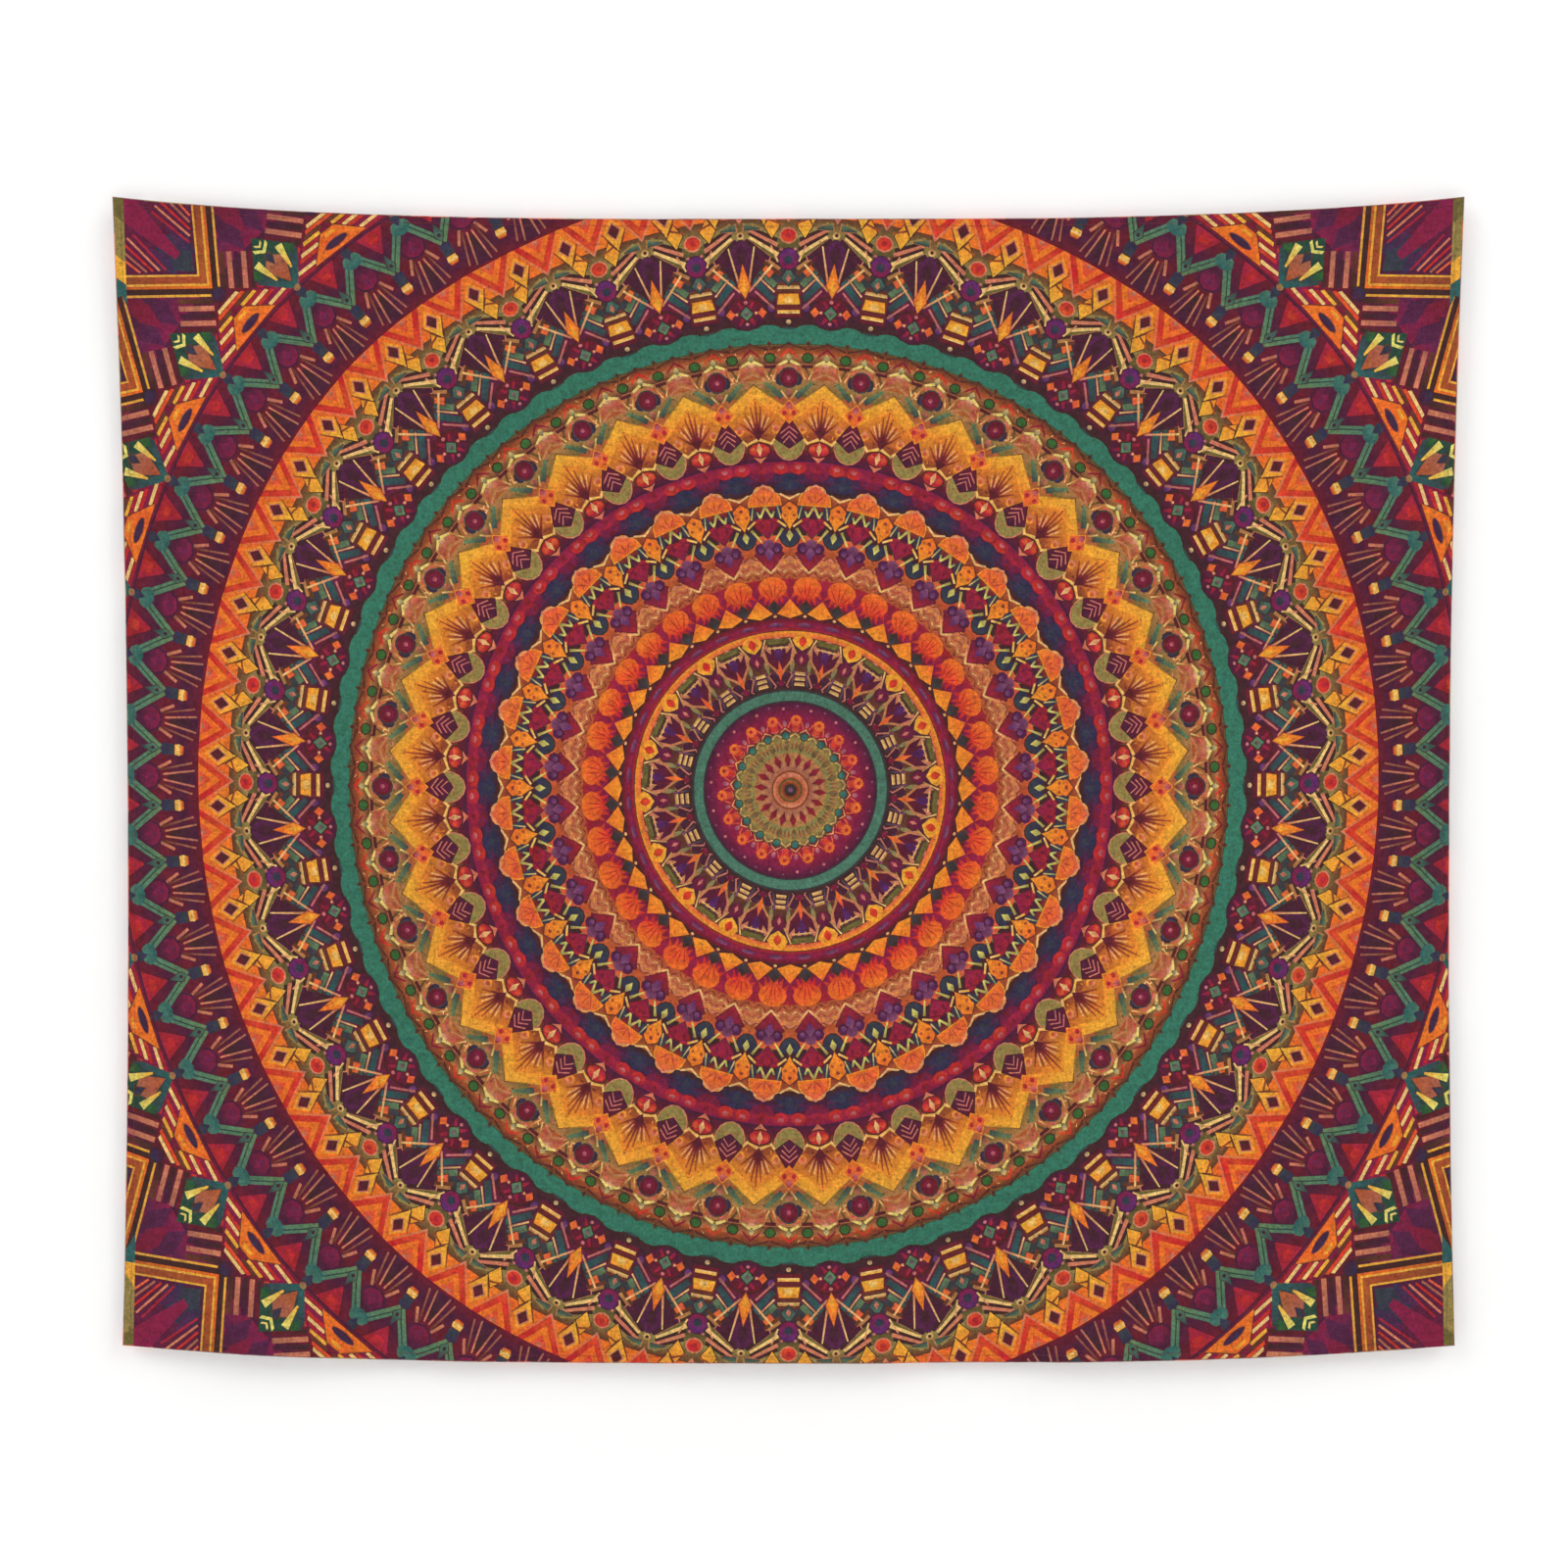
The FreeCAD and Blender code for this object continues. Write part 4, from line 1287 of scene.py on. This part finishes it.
# the hem's section: how far in from the cloth's edge, how far behind its face, and how much
# of it is the worn outer fold
HEM_SECTION = (
    (0.9, -0.02, 0.0),
    (0.3, -0.02, 0.5),
    (-0.2, 0.10, 1.0),
    (-0.45, 0.40, 1.0),
    (-0.45, 0.70, 1.0),
    (-0.2, 1.00, 0.8),
    (0.4, 1.18, 0.4),
    (2.0, 1.24, 0.0),
    (5.0, 1.26, 0.0),
    (7.2, 1.20, 0.0),
    (8.0, 1.10, 0.0),
    (8.8, 1.20, 0.0),
    (9.6, 1.16, 0.3),
    (10.0, 0.95, 0.6),
    (10.1, 0.65, 0.5),
    (9.8, 0.36, 0.0),
)
HEM_STEP = 0.006

# the seam puckers the hem, and its outer fold by only a share of that
PUCKER = 0.05
PUCKER_PITCH = 0.0065
FOLD_PUCKER = 0.2

# each side of the cloth: whether it runs down, which way it lies from the middle, its length, and
# its hem's nodes
SIDES = {
    "top": (0, -1, WIDTH, ("hem_top",)),
    "bottom": (0, 1, WIDTH, ("hem_bottom",)),
    "left": (1, -1, HEIGHT, ("hem_left_upper", "hem_left_lower")),
    "right": (1, 1, HEIGHT, ("hem_right_upper", "hem_right_lower")),
}


def along_side(side, share, inset):
    """The flat places at shares of the way along a side, in from its edge by the inset."""
    turned, way, length, _ = SIDES[side]
    run = (share - 0.5) * (length - 2 * inset)
    if turned:
        return np.full(share.shape, way * (WIDTH / 2 - inset)), HEIGHT / 2 + run
    return run, np.full(share.shape, HEIGHT / 2 + way * (HEIGHT / 2 - inset))


def follow_side(piece, side):
    """A piece down a side of the cloth has its placement baked into its mesh; one along the top or bottom
    rides.
    """
    if SIDES[side][0]:
        across_fold(piece)
    else:
        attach(piece, "upper_half" if side == "top" else "lower_half")


def face_outwards(mesh):
    """Turns the faces of a closed mesh outwards, and smooths them."""
    bm = bmesh.new()
    bm.from_mesh(mesh)
    bmesh.ops.recalc_face_normals(bm, faces=bm.faces)
    bm.to_mesh(mesh)
    bm.free()
    mesh.shade_smooth()


def make_hem(side, material):
    """One side's turned-over edge: the hem's section swept along it."""
    turned, way, length, nodes = SIDES[side]
    steps = int(length / HEM_STEP)
    shares = np.linspace(0, 1, steps + 1)
    rows = []
    flats = []
    for inset, behind, _ in HEM_SECTION:
        flat_x, flat_y = along_side(side, shares, inset * MM)
        pucker = PUCKER * np.sin(shares * length / PUCKER_PITCH) * (1.0 if inset > 1 else FOLD_PUCKER)
        rows.append(hang(flat_x, flat_y, FRONT + (behind + pucker) * MM))
        flats.append(np.stack([flat_x, flat_y], 1))
    points = np.stack(rows, 1).reshape(-1, 3)
    flats = np.stack(flats, 1).reshape(-1, 2)
    wide = len(HEM_SECTION)
    faces = []
    for i in range(steps):
        for j in range(wide - 1):
            corner = i * wide + j
            face = (corner, corner + 1, corner + wide + 1, corner + wide)
            faces.append(face if (way > 0) == bool(turned) else face[::-1])
    mesh = bpy.data.meshes.new("turned_hem_" + side)
    mesh.from_pydata(points.tolist(), [], faces)
    write_flat_places(mesh, flats)
    fold = np.tile([worn for _, _, worn in HEM_SECTION], steps + 1)
    mesh.attributes.new("fold", "FLOAT", "POINT").data.foreach_set("value", fold.astype(np.float32))
    mesh.shade_smooth()
    piece = add_piece("turned_hem_" + side, mesh, material)
    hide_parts(*nodes)
    follow_side(piece, side)
    return piece


SEAM_INSET = 0.008
STITCH_PITCH = 0.0031
STITCH_SHARE = 0.84
THREAD_RADIUS = 0.00021
THREAD_SIDES = 5
BOBBIN_DEPTH = 0.00118
STITCH_WANDER = 0.00012
STITCH_WANDER_STEP = 2.4

# along each stitch: its rings' places, and the thread's girth and bow at each
STITCH_PLACES = (-0.5, -0.32, 0.0, 0.32, 0.5)
STITCH_GIRTH = (0.45, 1.0, 1.0, 1.0, 0.45)
STITCH_BOW = (0.0, 0.825, 1.1, 0.825, 0.0)


def make_stitches(name, side, depth, way_out, material, nodes):
    """A row of lockstitches as separate little arcs of thread."""
    turned, _, length, _ = SIDES[side]
    length -= 2 * SEAM_INSET
    count = int(length / STITCH_PITCH)
    rings = len(STITCH_PLACES)
    girth = np.array(STITCH_GIRTH) * THREAD_RADIUS
    shares = ((np.arange(count) + 0.5)[:, None] + np.array(STITCH_PLACES) * STITCH_SHARE) / count
    wander = STITCH_WANDER * np.sin(np.arange(count) * STITCH_WANDER_STEP)[:, None]
    flat_x, flat_y = along_side(side, shares, SEAM_INSET)
    if turned:
        flat_x = flat_x + wander
    else:
        flat_y = flat_y + wander
    centre = hang(flat_x.ravel(), flat_y.ravel(), depth).reshape(count, rings, 3)
    centre[:, :, 1] += way_out * np.array(STITCH_BOW) * THREAD_RADIUS
    turns = np.arange(THREAD_SIDES) * 2 * np.pi / THREAD_SIDES
    wide = (1.0, 0.0, 0.0) if turned else (0.0, 0.0, 1.0)
    round_it = np.outer(np.cos(turns), wide) + np.outer(np.sin(turns), (0.0, 1.0, 0.0))
    points = centre[:, :, None, :] + girth[None, :, None, None] * round_it[None, None]
    faces = []
    for i in range(count):
        base = i * rings * THREAD_SIDES
        for j in range(rings - 1):
            for k in range(THREAD_SIDES):
                a = base + j * THREAD_SIDES + k
                b = base + j * THREAD_SIDES + (k + 1) % THREAD_SIDES
                faces.append((a, b, b + THREAD_SIDES, a + THREAD_SIDES))
        faces.append(tuple(range(base, base + THREAD_SIDES)))
        faces.append(tuple(range(base + (rings - 1) * THREAD_SIDES, base + rings * THREAD_SIDES)))
    mesh = bpy.data.meshes.new(name)
    mesh.from_pydata(points.reshape(-1, 3).tolist(), [], faces)
    face_outwards(mesh)
    piece = add_piece(name, mesh, material)
    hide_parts(*nodes)
    follow_side(piece, side)
    return piece


def make_seams():
    """Each hem's needle seam on the front and its bobbin seam on the back."""
    # the plum is painted shade in the gaps between the crimson thread's plies
    material = thread_material("seam_thread", dye("crimson"), dye("plum"))
    made = []
    for side in SIDES:
        parts = (side + "_upper", side + "_lower") if SIDES[side][0] else (side,)
        for kind, depth, way_out in (("needle", FRONT, -1), ("bobbin", FRONT + BOBBIN_DEPTH, 1)):
            name = f"{kind}_stitches_{side}"
            nodes = [f"{kind}_thread_{part}" for part in parts]
            made.append(make_stitches(name, side, depth, way_out, material, nodes))
    return made


# ---------------------------------------------------------------- loops, tacks, hooks

TAPE_LOOK_THICK = 0.0007
TAPE_STEPS = 96
TAPE_EDGE = 0.0004

# the tape lies on its hook as far out as the first share of its half length, and on the cloth
# beyond the second
TAPE_RISE = (0.34, 0.66)

# half of the tape's section: places up it and through it, and the middle of its edge
TAPE_SECTION = ((-1, 0.7), (-0.5, 1), (0, 1), (0.5, 1), (1, 0.7))


def tape_section(tall):
    """The tape's cross-section as places up and through, with rounded edges."""
    section = []
    for way in (-1, 1):
        for across, through in TAPE_SECTION:
            reach = tall - (TAPE_EDGE if abs(across) == 1 else 0)
            section.append((-way * across * reach, way * through * TAPE_LOOK_THICK / 2))
        section.append((-way * tall, 0.0))
    return section


def make_loop(side, material):
    """A loop of tape: its middle sits on the hook, and its ends lie on the cloth's back."""
    low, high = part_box("loop_" + side)
    middle_x, _, middle_z = [(a + b) / 2 for a, b in zip(low, high)]
    seat = high[1] - TAPE_LOOK_THICK / 2
    tab = low[1] + TAPE_LOOK_THICK / 2
    shares = np.linspace(-1, 1, TAPE_STEPS + 1)
    x = shares * (high[0] - low[0]) / 2
    y = seat + (tab - seat) * smooth(*TAPE_RISE, np.abs(shares))
    slope = np.gradient(y, x)
    size = np.hypot(1, slope)
    off_x, off_y = slope / size, -1 / size
    run = np.concatenate([[0], np.cumsum(np.hypot(np.diff(x), np.diff(y)))])
    section = tape_section((high[2] - low[2]) / 2)
    wide = len(section)
    points = []
    flats = []
    for i in range(TAPE_STEPS + 1):
        for up, through in section:
            place_x = middle_x + x[i] + off_x[i] * through
            points.append((place_x, y[i] + off_y[i] * through, middle_z + up))
            flats.append((run[i], up))
    faces = []
    for i in range(TAPE_STEPS):
        for j in range(wide):
            a, b = i * wide + j, i * wide + (j + 1) % wide
            faces.append((a, a + wide, b + wide, b))
    faces.append(tuple(range(wide)))
    faces.append(tuple(range(TAPE_STEPS * wide, TAPE_STEPS * wide + wide))[::-1])
    mesh = bpy.data.meshes.new("loop_" + side)
    mesh.from_pydata(points, [], faces)
    write_flat_places(mesh, np.array(flats))
    face_outwards(mesh)
    piece = add_piece("tape_loop_" + side, mesh, material)
    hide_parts("loop_" + side)
    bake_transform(piece)


# along each of a tack's threads: its rings' places, and the thread's girth at each
TACK_RINGS = (
    (0.0, 0.5),
    (0.2, 1.0),
    (0.5, 1.0),
    (0.8, 1.0),
    (1.0, 0.5),
)


def add_thread(bm, start, end, radius):
    """One stitch: a short bowed tube between two holes."""
    rings = []
    way = (end - start).normalized()
    side = way.cross(Vector((0, 1, 0))).normalized()
    for share, girth in TACK_RINGS:
        centre = start.lerp(end, share) + Vector((0, math.sin(math.pi * share) * radius, 0))
        ring = []
        for k in range(THREAD_SIDES):
            turn = 2 * math.pi * k / THREAD_SIDES
            spoke = side * math.cos(turn) + Vector((0, 1, 0)) * math.sin(turn)
            ring.append(bm.verts.new(centre + spoke * radius * girth))
        rings.append(ring)
    for near, far in zip(rings, rings[1:]):
        for k in range(THREAD_SIDES):
            bm.faces.new((near[k], far[k], far[(k + 1) % THREAD_SIDES], near[(k + 1) % THREAD_SIDES]))
    bm.faces.new(rings[0])
    bm.faces.new(rings[-1][::-1])


TACK_TURNS = 13
TACK_HALF = 0.0009
TACK_DEPTH = 0.00025
TACK_END = 0.0002
TACK_SLANT = 0.0001
TACK_RADIUS = THREAD_RADIUS * 1.05


def make_tacks(side, material):
    """Two bar tacks, each a dense zigzag of thread over the end of the tape."""
    low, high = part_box("loop_tacks_" + side)
    loop_low, loop_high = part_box("loop_" + side)
    middle = (loop_low[0] + loop_high[0]) / 2
    offset = high[0] - middle - TACK_HALF
    bm = bmesh.new()
    depth = high[1] - TACK_DEPTH
    heights = np.linspace(low[2] + TACK_END, high[2] - TACK_END, TACK_TURNS)
    for way in (-1, 1):
        for i in range(TACK_TURNS - 1):
            far_height = heights[i + 1] if i % 2 else heights[i] + TACK_SLANT
            start = Vector((middle + way * offset - TACK_HALF, depth, heights[i]))
            end = Vector((middle + way * offset + TACK_HALF, depth, far_height))
            add_thread(bm, start, end, TACK_RADIUS)
    mesh = bpy.data.meshes.new("loop_tacks_" + side)
    bm.to_mesh(mesh)
    bm.free()
    mesh.shade_smooth()
    piece = add_piece("bar_tacks_" + side, mesh, material)
    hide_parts("loop_tacks_" + side)
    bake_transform(piece)


def finish_hooks():
    """The hooks and pads keep their shapes and get their finishes."""
    for name, material in (("hook", plastic_material()), ("hook_pad", foam_material())):
        for side in ("left", "right"):
            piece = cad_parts[f"{name}_{side}"]
            for slot in piece.material_slots:
                slot.material = material


# ---------------------------------------------------------------- stage, light and camera


FLOOR_Z = FOLD - 1.15
WALL_Y = 0.0006
WALL_TOP = 3.5
ROOM = 7.0


def make_panel(name, near, far, material):
    """A panel as wide as the room, from one depth and height to another."""
    corners = [(-ROOM, *near), (ROOM, *near), (ROOM, *far), (-ROOM, *far)]
    mesh = bpy.data.meshes.new(name)
    mesh.from_pydata(corners, [], [(0, 1, 2, 3)])
    panel = bpy.data.objects.new(name, mesh)
    scene.collection.objects.link(panel)
    mesh.materials.append(material)


def make_stage():
    """The floor, and the wall that the hooks are stuck to."""
    floor_paint, _, _ = new_material("floor", Roughness=0.9, Base_Color=(0.86, 0.86, 0.85, 1))
    make_panel("floor", (-ROOM, FLOOR_Z), (ROOM, FLOOR_Z), floor_paint)
    wall_paint, tree, shader = new_material("wall", Roughness=0.95, Base_Color=(0.96, 0.96, 0.96, 1))
    # the wall can't be seen from behind, and lets light through to the hanging's back
    clear = node(tree, "ShaderNodeBsdfTransparent").outputs[0]
    behind = node(tree, "ShaderNodeNewGeometry").outputs["Backfacing"]
    shadow = node(tree, "ShaderNodeLightPath").outputs["Is Shadow Ray"]
    away = maths(tree, "MAXIMUM", behind, shadow)
    blend = node(tree, "ShaderNodeMixShader", {0: away, 1: shader.outputs[0], 2: clear})
    tree.links.new(blend.outputs[0], tree.nodes["Material Output"].inputs["Surface"])
    make_panel("wall", (WALL_Y, FLOOR_Z), (WALL_Y, WALL_TOP), wall_paint)


MIDDLE = (0.0, FRONT, (TOP + LOWER_LOW[2]) / 2)


def add_softbox(name, place, size, power):
    """A soft lamp that points at the middle of the hanging."""
    light = bpy.data.lights.new(name, "AREA")
    light.shape = "RECTANGLE"
    light.size, light.size_y = size
    light.energy = power
    box = bpy.data.objects.new(name, light)
    scene.collection.objects.link(box)
    box.location = place
    box.rotation_euler = (Vector(MIDDLE) - Vector(place)).to_track_quat("-Z", "Y").to_euler()
    box.visible_camera = False


ROOM_LIGHT = 0.58
BACKDROP = 0.9
LAMP_POWER = 215
REAR_POWER = 60
LAMP_SIZE = (4.5, 4.5)


def make_light():
    """An even white room, shown a little paler than it lights, and three soft lamps."""
    world = bpy.data.worlds.new("studio")
    world.use_nodes = True
    tree = world.node_tree
    seen = node(tree, "ShaderNodeLightPath").outputs["Is Camera Ray"]
    shown = maths(tree, "MULTIPLY", seen, BACKDROP)
    tree.links.new(maths(tree, "MAXIMUM", shown, ROOM_LIGHT), tree.nodes["Background"].inputs["Strength"])
    tree.nodes["Background"].inputs["Color"].default_value = (1, 1, 1, 1)
    scene.world = world
    # the two main lamps graze the wall from above, so that the cloth throws a soft shadow beside
    # and below it
    add_softbox("left", (-5.0, -2.7, 3.6), LAMP_SIZE, LAMP_POWER)
    add_softbox("right", (5.0, -2.7, 3.6), LAMP_SIZE, LAMP_POWER)
    add_softbox("rear", (0.6, 3.2, 0.8), (2.6, 2.2), REAR_POWER)


CAMERA_AWAY = 4.0
VIEW_WIDTH = 1.768
VIEW_CENTRE = (-0.005, -0.644)
SENSOR = 36.0


def make_camera():
    camera = bpy.data.objects.new("camera", bpy.data.cameras.new("camera"))
    scene.collection.objects.link(camera)
    camera.location = (VIEW_CENTRE[0], FRONT - CAMERA_AWAY, VIEW_CENTRE[1])
    camera.rotation_euler = (math.pi / 2, 0, 0)
    camera.data.sensor_width = SENSOR
    camera.data.lens = SENSOR * CAMERA_AWAY / VIEW_WIDTH
    scene.camera = camera


# ---------------------------------------------------------------- the whole scene

make_camera()
make_stage()
make_light()
scene.view_settings.view_transform = "Standard"

face_piece, back_piece = make_cloth()
hem_cloth = hem_material()
hems = [make_hem(side, hem_cloth) for side in SIDES]
seams = make_seams()
for piece in (face_piece, back_piece):
    across_fold(piece)

tape = tape_material()
tack_thread = thread_material("tack_thread", TACK_LIGHT, TACK_PLY_SHADE)
for side in ("left", "right"):
    make_loop(side, tape)
    make_tacks(side, tack_thread)
finish_hooks()
